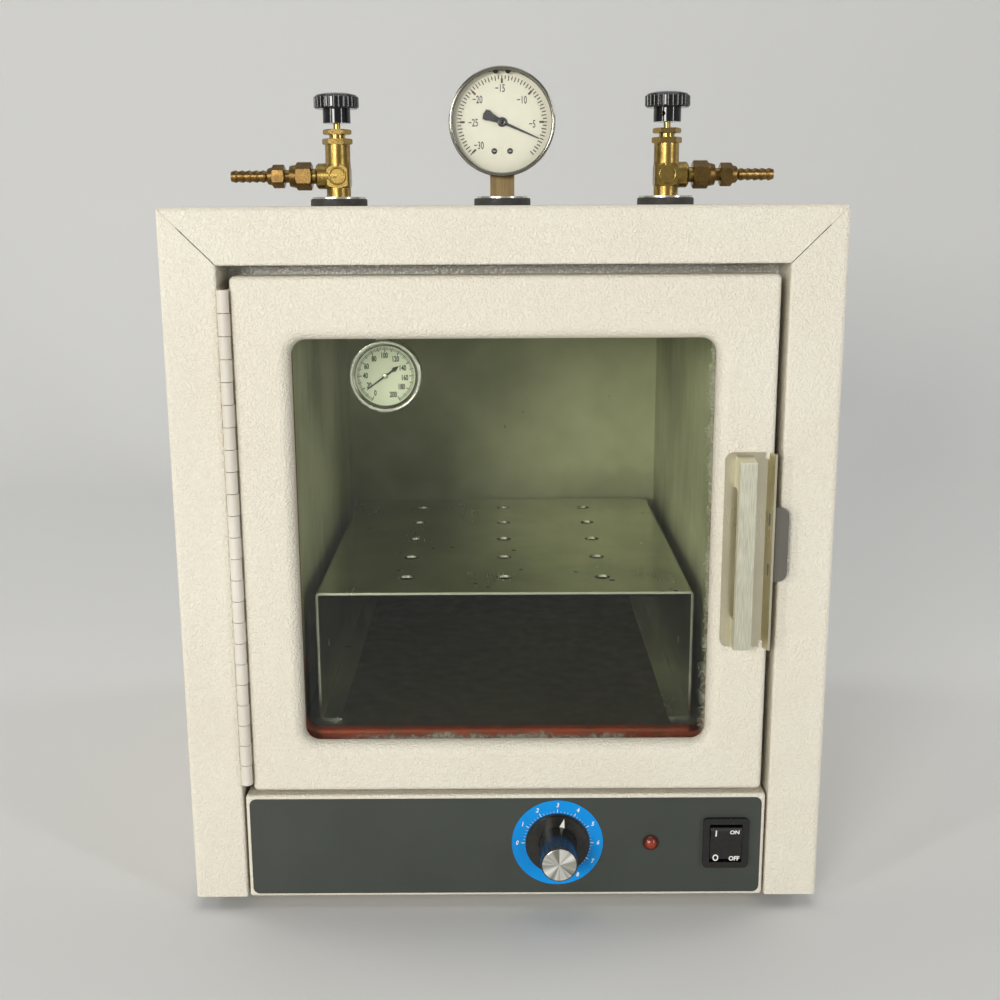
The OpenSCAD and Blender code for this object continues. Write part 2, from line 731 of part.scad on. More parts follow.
// One leaf of the piano hinge: first is its first knuckle, side is -1 for the frame and 1 for the door
module hinge_leaf(first, side) {
    plate_x = side * (barrel_r - leaf_t / 2);
    difference() {
        union() {
            for (k = [first:2:knuckles - 1]) translate([axis_x, axis_y, hinge_z0 + k * knuckle + knuckle_gap / 2]) {
                cylinder(r = barrel_r, h = knuckle - knuckle_gap);
                translate([plate_x - leaf_t / 2, 0, 0]) cube([leaf_t, barrel_r + touch + 1, knuckle - knuckle_gap]);
            }
            translate([axis_x + plate_x - leaf_t / 2, axis_y + barrel_r + touch, hinge_z0])
                cube([leaf_t, leaf_d, hinge_l]);
        }
        translate([axis_x, axis_y, hinge_z0 - cut]) cylinder(r = pin_r + fit, h = hinge_l + 2 * cut);
    }
}

module hinge_frame_leaf() in_frame() color(cream) hinge_leaf(0, -1);
module hinge_door_leaf() in_frame() color(cream) hinge_leaf(1, 1);
module hinge_pin() in_frame() color(steel_grey) translate([axis_x, axis_y, hinge_z0])
    cylinder(r = pin_r, h = hinge_l);

// The handle's two screws, as x and z
function post_points() = [for (s = [-1, 1]) [bar_x, grip_z + s * (grip_plate_l / 2 - post_l / 2 - 2)]];
lip_x = grip_lip * sin(grip_lean);
lip_y = grip_lip * cos(grip_lean);
tab_t = 2;
tenon_h = 7;
tab_y = -grip_plate_t - lip_y * 0.62;
tab_z = grip_z + 4.6;

module handle_plate() in_frame() color(steel_grey) difference() {
    union() {
        plate(-grip_plate_t, grip_plate_t) {
            translate([grip_x0 + 5, grip_z - grip_plate_l / 2]) square([grip_plate_w - 5, grip_plate_l]);
            translate([grip_x0, grip_z - grip_plate_l / 2 + 5]) square([grip_plate_w, grip_plate_l - 10]);
            for (s = [-1, 1]) translate([grip_x0 + 5, grip_z + s * (grip_plate_l / 2 - 5)]) circle(5);
        }
        translate([grip_x1, 0, grip_z - grip_plate_l / 2]) linear_extrude(grip_plate_l) {
            polygon([[-grip_plate_t, -grip_plate_t], [lip_x - grip_plate_t, -grip_plate_t - lip_y],
                     [lip_x, -grip_plate_t - lip_y], [0, 0], [-grip_plate_t, 0]]);
        }
    }
    for (s = [-1, 1]) translate([grip_x1, 0, grip_z + s * grip_plate_l / 2])
        cube([6, 2 * (grip_plate_t + 1.5), 8], center = true);
    for (p = post_points()) translate([p[0], 0, p[1]]) barrel(post_screw_r + fit, -grip_plate_t - cut, grip_plate_t + 2 * cut);
    for (s = [-1, 1]) translate([grip_x1 - 4, tab_y - seat / 2, tab_z + s * (tab_h / 2 - tenon_h) - tenon_h / 2 - seat / 2])
        cube([12, tab_t + seat, tenon_h + seat]);
}

module handle_tab() in_frame() color("#5b5a54") {
    x0 = grip_x1 + lip_x * 0.62 + 0.9;
    x1 = grip_x1 + lip_x + tab_out;
    corner = 5;
    plate(tab_y, tab_t) {
        translate([x0, tab_z - tab_h / 2]) square([x1 - x0 - corner, tab_h]);
        translate([x0, tab_z - tab_h / 2 + corner]) square([x1 - x0, tab_h - 2 * corner]);
        for (s = [-1, 1]) translate([x1 - corner, tab_z + s * (tab_h / 2 - corner)]) circle(corner);
    }
    for (s = [-1, 1]) translate([x0 - 2.6, tab_y, tab_z + s * (tab_h / 2 - tenon_h) - tenon_h / 2])
        cube([3, tab_t, tenon_h]);
}

module handle_bar() in_frame() color("#c9c8bd") {
    base_l = grip_plate_l - 2.4;
    slope = 1.8;
    low = grip_z - base_l / 2 - 0.6;
    gap_h = bar_h - bar_t;
    y0 = -grip_plate_t - bar_h;
    gap_r = 3;
    edge = 0.5;
    difference() {
        across(bar_x - bar_w / 2, bar_w) difference() {
            polygon([[-grip_plate_t, low], [y0 + edge, low + slope], [y0, low + slope + edge],
                     [y0, low + base_l - slope - edge], [y0 + edge, low + base_l - slope],
                     [-grip_plate_t, low + base_l]]);
            translate([-grip_plate_t - gap_h, low + post_l]) {
                translate([gap_r, 0]) square([gap_h, base_l - 2 * post_l]);
                translate([0, gap_r]) square([gap_h, base_l - 2 * post_l - 2 * gap_r]);
                for (z = [gap_r, base_l - 2 * post_l - gap_r]) translate([gap_r, z]) circle(gap_r);
            }
        }
        for (p = post_points()) translate([p[0], 0, p[1]]) barrel(post_screw_r + fit, -grip_plate_t - 9, 9 + cut);
    }
}

module handle_screws() in_frame() color(steel_grey) for (p = post_points()) translate([p[0], 0, p[1]]) {
    barrel(post_screw_r, -grip_plate_t - 8, grip_plate_t + 8 + door_sheet);
    barrel(3.6, door_sheet, 2.2);
}

catch_h = 32;
catch_z = grip_z + 46;
catch_x0 = door_x1 - 9;
module catch_plate() in_frame() color(steel_grey)
    translate([catch_x0, holder_back, catch_z - catch_h / 2]) cube([door_x1 - 2.5 - catch_x0, 1, catch_h]);
module catch_magnet() in_frame() color(knob_black)
    translate([catch_x0 - 1, holder_back + 1 + touch, catch_z - catch_h / 2 - 2])
        cube([opening_w / 2 - seat - catch_x0 + 1, fascia_y - holder_back - 1 - touch, catch_h + 4]);

panel_w = opening_w - 2 * panel_gap;
module control_panel() in_frame() color(cream) {
    r = 1.8;
    difference() {
        union() {
            translate([0, 0, panel_h / 2]) around(panel_w - 2 * r, panel_h - 2 * r, 0) fold_section(lip_d, sheet, r);
            plate(0, sheet) translate([0, panel_h / 2]) square([panel_w - 2 * r, panel_h - 2 * r], center = true);
        }
        translate([dial_x, 0, control_z]) barrel(4.8 + seat, -cut, sheet + 2 * cut);
        translate([lamp_x, 0, control_z]) barrel(lamp_r - 1 + seat, -cut, sheet + 2 * cut);
        plate(-cut, sheet + 2 * cut) translate([switch_x, control_z])
            square([rocker_w + 3.4 + 2 * seat, rocker_h + 3.4 + 2 * seat], center = true);
    }
}

module panel_overlay() in_frame() color(overlay_grey) plate(-overlay_t, overlay_t) difference() {
    translate([0, panel_h / 2]) rounded_rect(panel_w - 2 * overlay_margin, panel_h - 2 * overlay_margin, 4);
    translate([dial_x, control_z]) circle(4.8 + seat);
    translate([lamp_x, control_z]) circle(lamp_r - 1 + seat);
    translate([switch_x, control_z]) square([rocker_w + 3.4 + 2 * seat, rocker_h + 3.4 + 2 * seat], center = true);
}

module dial_ring() in_frame() color(dial_blue) plate(-overlay_t - 0.3, 0.3) translate([dial_x, control_z])
    difference() {
        circle(dial_r);
        circle(8);
    }

module thermostat_body() in_frame() color("#8a8072") translate([dial_x, 0, control_z]) difference() {
    union() {
        plate(sheet, 30) rounded_rect(38, 38, 2);
        barrel(4.8, -overlay_t, sheet + overlay_t + cut);
    }
    barrel(3 + fit, -overlay_t - cut, 16);
}

module thermostat_bulb() in_frame() color("#b5733c") {
    r = 3.2;
    z = floor_z - wall - r - seat;
    line_y = lip_d + 8;
    drop = control_z + 27;
    translate([0, lip_d + 34, z]) rotate([-90, 0, 0]) cylinder(r = r, h = 80);
    run = [[0, lip_d + 36, z], [0, line_y, z], [0, line_y, drop], [dial_x, line_y, drop],
           [dial_x, 25, drop], [dial_x, 25, control_z + 19]];
    for (k = [0:len(run) - 2]) wire(run[k], run[k + 1], 0.9);
}

// A straight stretch of wire with round ends
module wire(a, b, r) {
    d = b - a;
    len = norm(d);
    translate(a) {
        sphere(r);
        rotate([0, acos(d[2] / len), atan2(d[1], d[0])]) cylinder(r = r, h = len);
    }
}

skirt_y = -overlay_t - 0.3 - touch;
cap_t = 0.8;
module control_knob() in_frame() color(knob_black) translate([dial_x, 0, control_z]) difference() {
    turned() {
        translate([0, skirt_y - 2.4]) square([skirt_r - 0.8, 2.4]);
        translate([0, skirt_y - 1.6]) square([skirt_r, 1.6]);
        polygon([[0, skirt_y], [knob_r, skirt_y], [knob_r - 0.9, 0.8 - knob_reach],
                 [knob_r - 1.7, -knob_reach], [0, -knob_reach]]);
    }
    barrel(10.1, -knob_reach - cut, cut + cap_t);
    barrel(3 + fit, -knob_reach + 8, knob_reach);
}

module knob_cap() in_frame() color(steel_grey) translate([dial_x, 0, control_z]) turned() {
    translate([0, -knob_reach]) square([9.6, cap_t]);
    translate([0, -knob_reach + 0.3]) square([10, cap_t - 0.3]);
}

module knob_shaft() in_frame() color(steel_grey) translate([dial_x, 0, control_z])
    barrel(3, -knob_reach + 8.2, knob_reach + 5);

module pilot_lens() in_frame() color("#8c2214") translate([lamp_x, 0, control_z]) turned() intersection() {
    union() {
        translate([0, -overlay_t - 1]) square([lamp_r, 1]);
        translate([0, -overlay_t + 1]) circle(lamp_r);
    }
    translate([0, -overlay_t - lamp_r]) square([lamp_r, lamp_r]);
}

module lamp_body() in_frame() color(knob_black) translate([lamp_x, 0, control_z])
    barrel(lamp_r - 1, -overlay_t, 24);

// The hollow that the rocker moves in, as depth and height
module switch_housing() in_frame() color(knob_black) translate([switch_x, 0, control_z]) difference() {
    union() {
        plate(-overlay_t - 2.4, 2.4) rounded_rect(switch_w, switch_h, 2.5);
        plate(-overlay_t, 20) square([rocker_w + 3.4, rocker_h + 3.4], center = true);
    }
    plate(-overlay_t - 2.4 - cut, 14) square([rocker_w + 0.7, rocker_h + 1], center = true);
    across(-rocker_w / 2 - 1.1, rocker_w + 2.2) translate([rocker_axis_y, 0]) circle(1.5 + fit);
}

module switch_rocker() in_frame() color(knob_black)
    translate([switch_x, rocker_axis_y, control_z]) rotate([rocker_tilt, 0, 0]) {
        face = -rocker_axis_y - overlay_t - 2.6;
        across(-rocker_w / 2, rocker_w) intersection() {
            polygon([[face - 1.4, rocker_h / 2 - 0.4], [face, 0], [face - 1.4, -rocker_h / 2 + 0.4],
                     [0, -rocker_h / 2 + 1.6], [4.5, -3], [4.5, 3], [0, rocker_h / 2 - 1.6]]);
            circle(rocker_h / 2 + 0.1);
        }
        across(-rocker_w / 2 - 1, rocker_w + 2) circle(1.5);
    }

module port_nipples() in_frame() color(brass_gold) for (x = port_xs) translate([x, port_y, 0]) {
    top = x == 0 ? cab_h + bushing_h + washer_t + 6 : valve_z;
    difference() {
        translate([0, 0, roof_z + wall + 0.1]) cylinder(r = pipe_r, h = top - roof_z - wall - 0.1);
        translate([0, 0, roof_z]) cylinder(r = pipe_bore, h = top - roof_z + cut);
    }
}

module port_bushings() in_frame() color(knob_black) for (x = port_xs) translate([x, port_y, cab_h]) difference() {
    neck = pipe_r + 7;
    union() {
        rotate_extrude() {
            square([bushing_r, bushing_h - 1.2]);
            square([bushing_r - 1.2, bushing_h]);
            translate([bushing_r - 1.2, bushing_h - 1.2]) circle(1.2);
        }
        translate([0, 0, -sheet - 0.2]) cylinder(r = neck, h = sheet + 0.4);
        translate([0, 0, -sheet - 3.2]) cylinder(r = neck + 2, h = 3);
    }
    translate([0, 0, -20]) cylinder(r = pipe_r + fit, h = 40);
}

module port_washers() in_frame() color(steel_grey) for (x = port_xs) translate([x, port_y, cab_h + bushing_h])
    difference() {
        cylinder(r = x == 0 ? washer_r - 1 : washer_r, h = washer_t);
        translate([0, 0, -cut]) cylinder(r = pipe_r + fit, h = washer_t + 2 * cut);
    }

// A hexagon bar along z with its corners turned off at both ends
module hex_bar(d, h, bevel) intersection() {
    cylinder(d = d, h = h, $fn = 6);
    rotate_extrude() polygon([[0, 0], [d / 2 - bevel, 0], [d / 2, bevel * 0.6], [d / 2, h - bevel * 0.6],
                              [d / 2 - bevel, h], [0, h]]);
}

module at_valve(side) translate([side * port_x, port_y, 0]) mirror([side < 0 ? 0 : 1, 0, 0]) children();

// The valve body, port towards -x; badge is "round" or "flat", the forging's raised mark
module valve_body(badge) {
    block = 2 * valve_r - 0.4;
    difference() {
        union() {
            translate([0, 0, valve_z]) cylinder(r = valve_r - 0.2, h = valve_h / 2);
            translate([0, 0, valve_z + branch_h + 6]) cylinder(r = valve_r, h = valve_h - branch_h - 6);
            intersection() {
                translate([-block / 2, -block / 2, valve_z + 6]) cube([block, block, 15]);
                translate([0, 0, valve_z + 6]) rotate_extrude()
                    polygon([[0, 0], [valve_r + 0.2, 0], [valve_r + 2.3, 1.6], [valve_r + 2.3, 12],
                             [valve_r, 15], [0, 15]]);
            }
            translate([0, 0, valve_z + branch_h]) rotate([0, -90, 0]) {
                cylinder(r = branch_r, h = branch_l - 1.2);
                translate([0, 0, branch_l - 1.2]) cylinder(r1 = branch_r, r2 = branch_r - 1.2, h = 1.2);
                cylinder(r = 5, h = union_x + 5);
            }
            translate([0, -block / 2 - 0.6, valve_z + branch_h]) if (badge == "round")
                difference() {
                    barrel(5.8, 0, 1);
                    barrel(5, -cut, cut + 0.4);
                }
            else
                plate(0, 1) rounded_rect(8, 11, 1);
        }
        translate([0, 0, valve_z - cut]) cylinder(r = 2.6, h = branch_h + cut);
        translate([0, 0, stem_seat - 2.6]) cylinder(r1 = 2.2, r2 = 4.2, h = 2.6);
        translate([0, 0, stem_seat - 0.01]) cylinder(r = 4.2, h = valve_h);
        translate([0, 0, valve_z + branch_h]) rotate([0, -90, 0]) cylinder(r = 2.2, h = 40);
    }
}

module left_valve_body() in_frame() color(brass_gold) at_valve(-1) valve_body("round");
module right_valve_body() in_frame() color(brass_gold) at_valve(1) valve_body("flat");

module valve_bonnets() in_frame() color(brass_gold) for (side = [-1, 1]) at_valve(side) difference() {
    union() {
        translate([0, 0, bonnet_z]) hex_bar(20.2, bonnet_hex_h, 0.8);
        translate([0, 0, bonnet_z - 8]) cylinder(r = 4.2 - fit, h = 10);
        translate([0, 0, bonnet_z + 1]) cylinder(r = 5.3, h = bonnet_hex_h + bonnet_neck_h - 1);
    }
    translate([0, 0, bonnet_z - 10]) cylinder(r = stem_r + fit, h = 60);
}

module packing_nuts() in_frame() color(brass_gold) for (side = [-1, 1]) at_valve(side)
    translate([0, 0, packing_z]) difference() {
        hex_bar(19, packing_h, 1);
        translate([0, 0, -cut]) cylinder(r = 5.3 + fit, h = bonnet_neck_h - 2.5 + cut + 0.05);
        cylinder(r = stem_r + fit, h = 10);
    }

module valve_stem() {
    translate([0, 0, stem_seat]) cylinder(r = stem_r, h = wheel_z + 4 - stem_seat);
    translate([0, 0, stem_seat - 1.4]) cylinder(r1 = 1.2, r2 = stem_r, h = 1.4);
}
module left_valve_stem() in_frame() color(brass_gold) at_valve(-1) valve_stem();
module right_valve_stem() in_frame() color(brass_gold) at_valve(1) valve_stem();

module valve_knob() difference() {
    union() {
        translate([0, 0, hub_z]) rotate_extrude() {
            square([hub_r, hub_h]);
            translate([0, hub_h]) polygon([[0, 0], [wheel_r - 1.2, 0], [wheel_r, 1.2], [wheel_r, wheel_h - 2.6],
                                           [wheel_r - 1.6, wheel_h - 1], [wheel_r - 5, wheel_h], [0, wheel_h]]);
        }
    }
    for (k = [0:flutes - 1]) rotate(360 / flutes * k) translate([wheel_r + 0.45, 0, wheel_z - cut])
        cylinder(r = 1, h = wheel_h + 2 * cut, $fn = 24);
    translate([0, 0, hub_z - cut]) cylinder(r = stem_r + fit, h = hub_h + 4.2 + cut);
    translate([0, 0, hub_z + hub_h * 0.55]) rotate([90, 0, 25]) cylinder(r = 1.6, h = hub_r + cut);
}
module left_valve_knob() in_frame() color(knob_black) at_valve(-1) rotate(150) valve_knob();
module right_valve_knob() in_frame() color(knob_black) at_valve(1) valve_knob();

module union_nuts() in_frame() color(brass_gold) for (side = [-1, 1]) at_valve(side)
    translate([-union_x, 0, valve_z + branch_h]) rotate([0, -90, 0]) difference() {
        union() {
            hex_bar(union_d, union_hex_l, 1.2);
            translate([0, 0, union_hex_l - 1]) cylinder(r = union_d * 0.41, h = 2);
            translate([0, 0, union_hex_l + 1])
                cylinder(r1 = union_d * 0.41, r2 = union_d * 0.37, h = union_collar - 1);
        }
        translate([0, 0, -cut]) cylinder(r = 5 + fit, h = 8 + cut);
        cylinder(r = 4.2 + fit, h = union_l + cut);
    }

module hose_barb() translate([0, 0, valve_z + branch_h]) rotate([0, -90, 0]) difference() {
    union() {
        translate([0, 0, union_x + 8.4]) cylinder(r = 4.2, h = barb_hex_x - union_x - 8.4 + 1);
        translate([0, 0, barb_hex_x]) hex_bar(barb_hex, barb_hex_l, 0.9);
        translate([0, 0, barb_hex_x + barb_hex_l]) {
            cylinder(r1 = barb_hex / 2 - 1.6, r2 = barb_r + 1.2, h = barb_taper_l * 0.65);
            translate([0, 0, barb_taper_l * 0.65])
                cylinder(r1 = barb_r + 1.2, r2 = barb_r - 0.8, h = barb_taper_l * 0.35);
            translate([0, 0, barb_taper_l]) for (k = [0:barbs - 1]) translate([0, 0, k * barb_l / barbs]) {
                cylinder(r = barb_r - 0.8, h = barb_l / barbs);
                cylinder(r1 = barb_r - 0.8, r2 = barb_r, h = barb_l / barbs * 0.35);
                translate([0, 0, barb_l / barbs * 0.35])
                    cylinder(r1 = barb_r, r2 = barb_r - 0.8, h = barb_l / barbs * 0.6);
            }
        }
    }
    cylinder(r = 2.2, h = 120);
}
module left_hose_barb() in_frame() color(brass_gold) at_valve(-1) hose_barb();
module right_hose_barb() in_frame() color(brass_gold) at_valve(1) hose_barb();

module at_gauge() translate([0, 0, gauge_z]) children();

module gauge_case() in_frame() color(knob_black) at_gauge() turned() {
    back = gauge_front + gauge_d;
    front = gauge_front + 3;
    difference() {
        union() {
            translate([0, front]) square([gauge_case_r, back - front - 3]);
            translate([0, front]) square([gauge_case_r - 3, back - front]);
            translate([gauge_case_r - 3, back - 3]) circle(3);
        }
        translate([-cut, front - cut]) square([gauge_case_r - gauge_case_t + cut, gauge_d - 5.5 + cut]);
    }
}

module gauge_bezel() in_frame() color(steel_grey) at_gauge() turned() difference() {
    union() {
        translate([gauge_r - 2.6, gauge_front + 1.3]) square([2.6, 6.7]);
        translate([gauge_r - 1.3, gauge_front + 1.3]) circle(1.3);
    }
    translate([0, gauge_front + 2.4]) square([gauge_case_r + fit, 10]);
}

module gauge_lens() in_frame() color(glass_tint) at_gauge() barrel(gauge_inside_r, gauge_front + 3, 1.6);

// Dial plate, carried by a pillar from the case's back
module gauge_dial() in_frame() color("#efead6") at_gauge() difference() {
    union() {
        barrel(gauge_inside_r, gauge_dial_y + 1, 0.8);
        barrel(4, gauge_dial_y + 1.8, gauge_front + 3 + gauge_d - 5.5 - gauge_dial_y - 1.8 - 0.05);
    }
    barrel(1 + fit, gauge_dial_y, 8);
}

module gauge_pointer() in_frame() color(knob_black) at_gauge() rotate([0, gauge_angle, 0]) {
    plate(gauge_dial_y - 0.3, 0.6) {
        circle(3.1);
        polygon([[-1, 0], [-0.35, 26.5], [0.35, 26.5], [1, 0]]);
        polygon([[-1.2, 0], [-3.4, -12.5], [0, -13.4], [3.4, -12.5], [1.2, 0]]);
    }
    barrel(1, gauge_dial_y - 1, 8);
}

module gauge_socket() in_frame() color(brass_gold) difference() {
    translate([-socket_w / 2, port_y - socket_w / 2, valve_z])
        cube([socket_w, socket_w, gauge_z - valve_z - gauge_case_r * 0.9]);
    at_gauge() barrel(gauge_case_r + fit, gauge_front, gauge_d + cut);
    translate([0, port_y, valve_z - cut]) cylinder(r = pipe_r + fit, h = 7.2);
    translate([0, port_y, valve_z]) cylinder(r = 2.5, h = 80);
}

module shelf() in_frame() color("#9a9c94") translate([0, shelf_y, floor_z]) difference() {
    bend = shelf_t + 0.8;
    plate(0, shelf_l) difference() {
        translate([0, shelf_h / 2]) rounded_rect(shelf_w, shelf_h, bend);
        translate([0, shelf_h / 2]) rounded_rect(shelf_w - 2 * shelf_t, shelf_h - 2 * shelf_t, bend - shelf_t);
        translate([-shelf_w / 2 + shelf_foot, -cut]) square([shelf_w - 2 * shelf_foot, shelf_h / 2]);
    }
    for (ix = [-1:1], iy = [-2:2])
        translate([ix * hole_step_x, shelf_l / 2 + iy * hole_step_y + 1.3, shelf_h - shelf_t - cut])
            cylinder(r = shelf_hole, h = shelf_t + 2 * cut);
}

module at_thermo() translate([-thermo_x, 0, thermo_z]) children();

// Case with its bezel and dial, and the strap that hangs it from the chamber's roof
module thermometer_case() in_frame() color(steel_grey) {
    back = thermo_y + thermo_d;
    difference() {
        union() {
            at_thermo() turned() {
                translate([0, thermo_y + 1]) square([thermo_r, thermo_d - 1]);
                translate([0, thermo_y]) square([thermo_r - 1, thermo_d]);
                translate([thermo_r - 1, thermo_y + 1]) circle(1);
            }
            translate([-thermo_x - 6, back, thermo_z - 6]) cube([6, 1.2, roof_z - thermo_z + 6]);
            translate([-thermo_x - 6, back, roof_z - 1.2]) cube([6, 12, 1.2]);
        }
        at_thermo() barrel(thermo_r - 2.4, thermo_y - cut, thermo_dial_y - thermo_y + cut);
        at_thermo() barrel(0.8 + fit, thermo_y, 6);
    }
}

module thermometer_pointer() in_frame() color(knob_black) at_thermo() rotate([0, thermo_angle, 0]) {
    plate(thermo_dial_y - 1, 0.4) {
        circle(1.6);
        polygon([[-0.6, 0], [-0.25, 14.5], [0.25, 14.5], [0.6, 0]]);
        polygon([[-0.6, 0], [-0.6, -5], [-1.5, -7], [0, -10.5], [1.5, -7], [0.6, -5], [0.6, 0]]);
    }
    barrel(0.8, thermo_dial_y - 1.2, 3);
}

cabinet_wrap();
cabinet_base();
rear_cover();
rear_screws();
feet();
chamber();
chamber_supports();
chamber_fascia();
insulation();
heater_pads();
door_gasket();
door_shell();
door_glass();
glass_holder();
holder_screws();
hinge_frame_leaf();
hinge_door_leaf();
hinge_pin();
handle_plate();
handle_bar();
handle_tab();
handle_screws();
catch_magnet();
catch_plate();
control_panel();
panel_overlay();
dial_ring();
thermostat_body();
thermostat_bulb();
control_knob();
knob_cap();
knob_shaft();
pilot_lens();
lamp_body();
switch_housing();
switch_rocker();
power_inlet();
port_nipples();
port_bushings();
port_washers();
left_valve_body();
left_valve_stem();
left_valve_knob();
left_hose_barb();
right_valve_body();
right_valve_stem();
right_valve_knob();
right_hose_barb();
valve_bonnets();
packing_nuts();
union_nuts();
gauge_case();
gauge_bezel();
gauge_dial();
gauge_pointer();
gauge_lens();
gauge_socket();
shelf();
thermometer_case();
thermometer_pointer();
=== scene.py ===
import math
from collections import namedtuple
from functools import partial

import bmesh
import bpy
from mathutils import Matrix, Vector


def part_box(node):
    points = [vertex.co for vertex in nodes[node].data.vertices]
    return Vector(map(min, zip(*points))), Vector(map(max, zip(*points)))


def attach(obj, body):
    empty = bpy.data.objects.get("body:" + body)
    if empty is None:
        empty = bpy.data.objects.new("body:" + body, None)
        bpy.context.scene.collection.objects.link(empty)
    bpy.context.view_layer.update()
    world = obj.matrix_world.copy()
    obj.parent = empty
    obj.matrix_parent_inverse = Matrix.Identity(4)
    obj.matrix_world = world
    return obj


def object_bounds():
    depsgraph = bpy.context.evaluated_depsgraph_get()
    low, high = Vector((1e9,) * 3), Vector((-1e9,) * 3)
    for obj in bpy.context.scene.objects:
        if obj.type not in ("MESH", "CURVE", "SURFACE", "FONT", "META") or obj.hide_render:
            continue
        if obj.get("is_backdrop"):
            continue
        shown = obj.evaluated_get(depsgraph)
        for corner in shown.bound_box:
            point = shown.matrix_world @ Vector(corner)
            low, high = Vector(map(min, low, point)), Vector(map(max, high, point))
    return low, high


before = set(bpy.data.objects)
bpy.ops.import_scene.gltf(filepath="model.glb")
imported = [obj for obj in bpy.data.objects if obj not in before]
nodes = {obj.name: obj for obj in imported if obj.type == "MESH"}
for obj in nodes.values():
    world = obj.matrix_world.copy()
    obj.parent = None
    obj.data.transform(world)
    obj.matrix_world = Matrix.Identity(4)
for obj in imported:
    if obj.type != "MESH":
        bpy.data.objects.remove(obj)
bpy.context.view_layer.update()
scene = bpy.context.scene
scene.view_settings.view_transform = "Standard"

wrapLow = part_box("cabinet_wrap")[0]
frontY, bottomZ = wrapLow[1], wrapLow[2]
mm = 0.001  # in metres, for the reliefs
print("frame loaded:", len(nodes), "nodes")


def at(x, y, z):
    # millimetres from the middle of the cabinet front's bottom edge, y going back
    return Vector((x / 1000, frontY + y / 1000, bottomZ + z / 1000))


nodeBox = namedtuple("nodeBox", "left right front back low high")


def localOf(name):
    # a node's box in the millimetres that at() takes
    low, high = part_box(name)
    return nodeBox(low[0] * 1000, high[0] * 1000, (low[1] - frontY) * 1000, (high[1] - frontY) * 1000,
                   (low[2] - bottomZ) * 1000, (high[2] - bottomZ) * 1000)


def centreOf(name):
    # the middle of a node's box seen from the front, x and z in the same millimetres
    box = localOf(name)
    return (box.left + box.right) / 2, (box.low + box.high) / 2


def middle(name):
    # the middle of a node's box in the frame's own metres
    low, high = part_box(name)
    return [(a + b) / 2 for a, b in zip(low, high)]


def hexColour(text):
    # sRGB hex to the linear values that the shaders take
    parts = [int(text[i : i + 2], 16) / 255 for i in (1, 3, 5)]
    return tuple(p / 12.92 if p <= 0.04045 else ((p + 0.055) / 1.055) ** 2.4 for p in parts) + (1.0,)


def perMm(size):
    # pattern scale for a feature of that size in millimetres, on coordinates in metres
    return 1000 / size


def setSocket(socket, value):
    # hex text stands for a colour
    socket.default_value = hexColour(value) if isinstance(value, str) else value


def addNode(tree, kind, inputs=None, out=0, **settings):
    # one node: its settings, its sockets linked or set; gives an output back
    node = tree.nodes.new("ShaderNode" + kind)
    for key, value in settings.items():
        setattr(node, key, value)
    for socket, value in (inputs or {}).items():
        if isinstance(value, bpy.types.NodeSocket):
            tree.links.new(value, node.inputs[socket])
        else:
            setSocket(node.inputs[socket], value)
    return node.outputs[out]


def newMaterial(name, settings):
    # gives the material, the function that adds nodes to it, and the coordinates its patterns lie on
    material = bpy.data.materials.new(name)
    material.use_nodes = True
    shader = material.node_tree.nodes["Principled BSDF"]
    for socket, value in settings.items():
        setSocket(shader.inputs[socket], value)
    add = partial(addNode, material.node_tree)
    return material, add, add("TexCoord", out="Object")


def wire(material, links):
    # leads outputs into the material's shader and gives the material back
    tree = material.node_tree
    for socket, value in links.items():
        tree.links.new(value, tree.nodes["Principled BSDF"].inputs[socket])
    return material


# Textured powder coat: sprayed and stoved on steel, it gives small leathery bumps with a soft sheen
creamCoat = {"colour": "#e8e2d2", "shade": "#e5decd", "grime": "#a79c86", "roughness": 0.4, "cellMm": 1.1,
             "depthMm": 0.34}
hingeCoat = {"colour": "#e4ded2", "shade": "#dad3c5", "grime": "#8f8573", "roughness": 0.34, "cellMm": 2.6,
             "depthMm": 0.05}


def texturedPowderCoat(name, coat):
    material, add, where = newMaterial(name, {})
    broad = add("TexNoise", {"Vector": where, "Scale": perMm(90), "Detail": 3})
    drift = add("MapRange", {"Value": broad, "From Min": 0.35, "From Max": 0.65})
    tone = add("Mix", {0: drift, 6: coat["colour"], 7: coat["shade"]}, 2, data_type="RGBA")
    dirt = add("TexNoise", {"Vector": where, "Scale": perMm(14), "Detail": 6, "Roughness": 0.7})
    patches = add("MapRange", {"Value": dirt, "From Min": 0.66, "From Max": 0.8, "To Max": 0.1})
    tone = add("Mix", {0: patches, 6: tone, 7: coat["grime"]}, 2, data_type="RGBA")
    peel = add("TexNoise", {"Vector": where, "Scale": perMm(coat["cellMm"]), "Detail": 0.6})
    cells = add("MapRange", {"Value": peel, "From Min": 0.3, "From Max": 0.7},
                interpolation_type="SMOOTHSTEP")
    gloss = add("MapRange", {"Value": cells, "To Min": coat["roughness"] + 0.07,
                             "To Max": coat["roughness"] - 0.04})
    bump = add("Bump", {"Height": cells, "Distance": coat["depthMm"] * mm})
    return wire(material, {"Base Color": tone, "Roughness": gloss, "Normal": bump})


creamPaint = texturedPowderCoat("TexturedCreamPowderCoat", creamCoat)
hingePaint = texturedPowderCoat("CreamPaintOverHinge", hingeCoat)

# Heat-proof enamel paint: brushed on the chamber's steel, dulled by fumes, baked dark on the floor, and with
# painted shade below the shelf's height, darkest at the floor
chamberEnamel = {"colour": "#c4c6a9", "shade": "#a2a488", "stain": "#57533c", "sootAndShade": "#2b281d",
                 "sootAndShadeTo": 122, "plainFrom": 220, "raggedMm": 30}


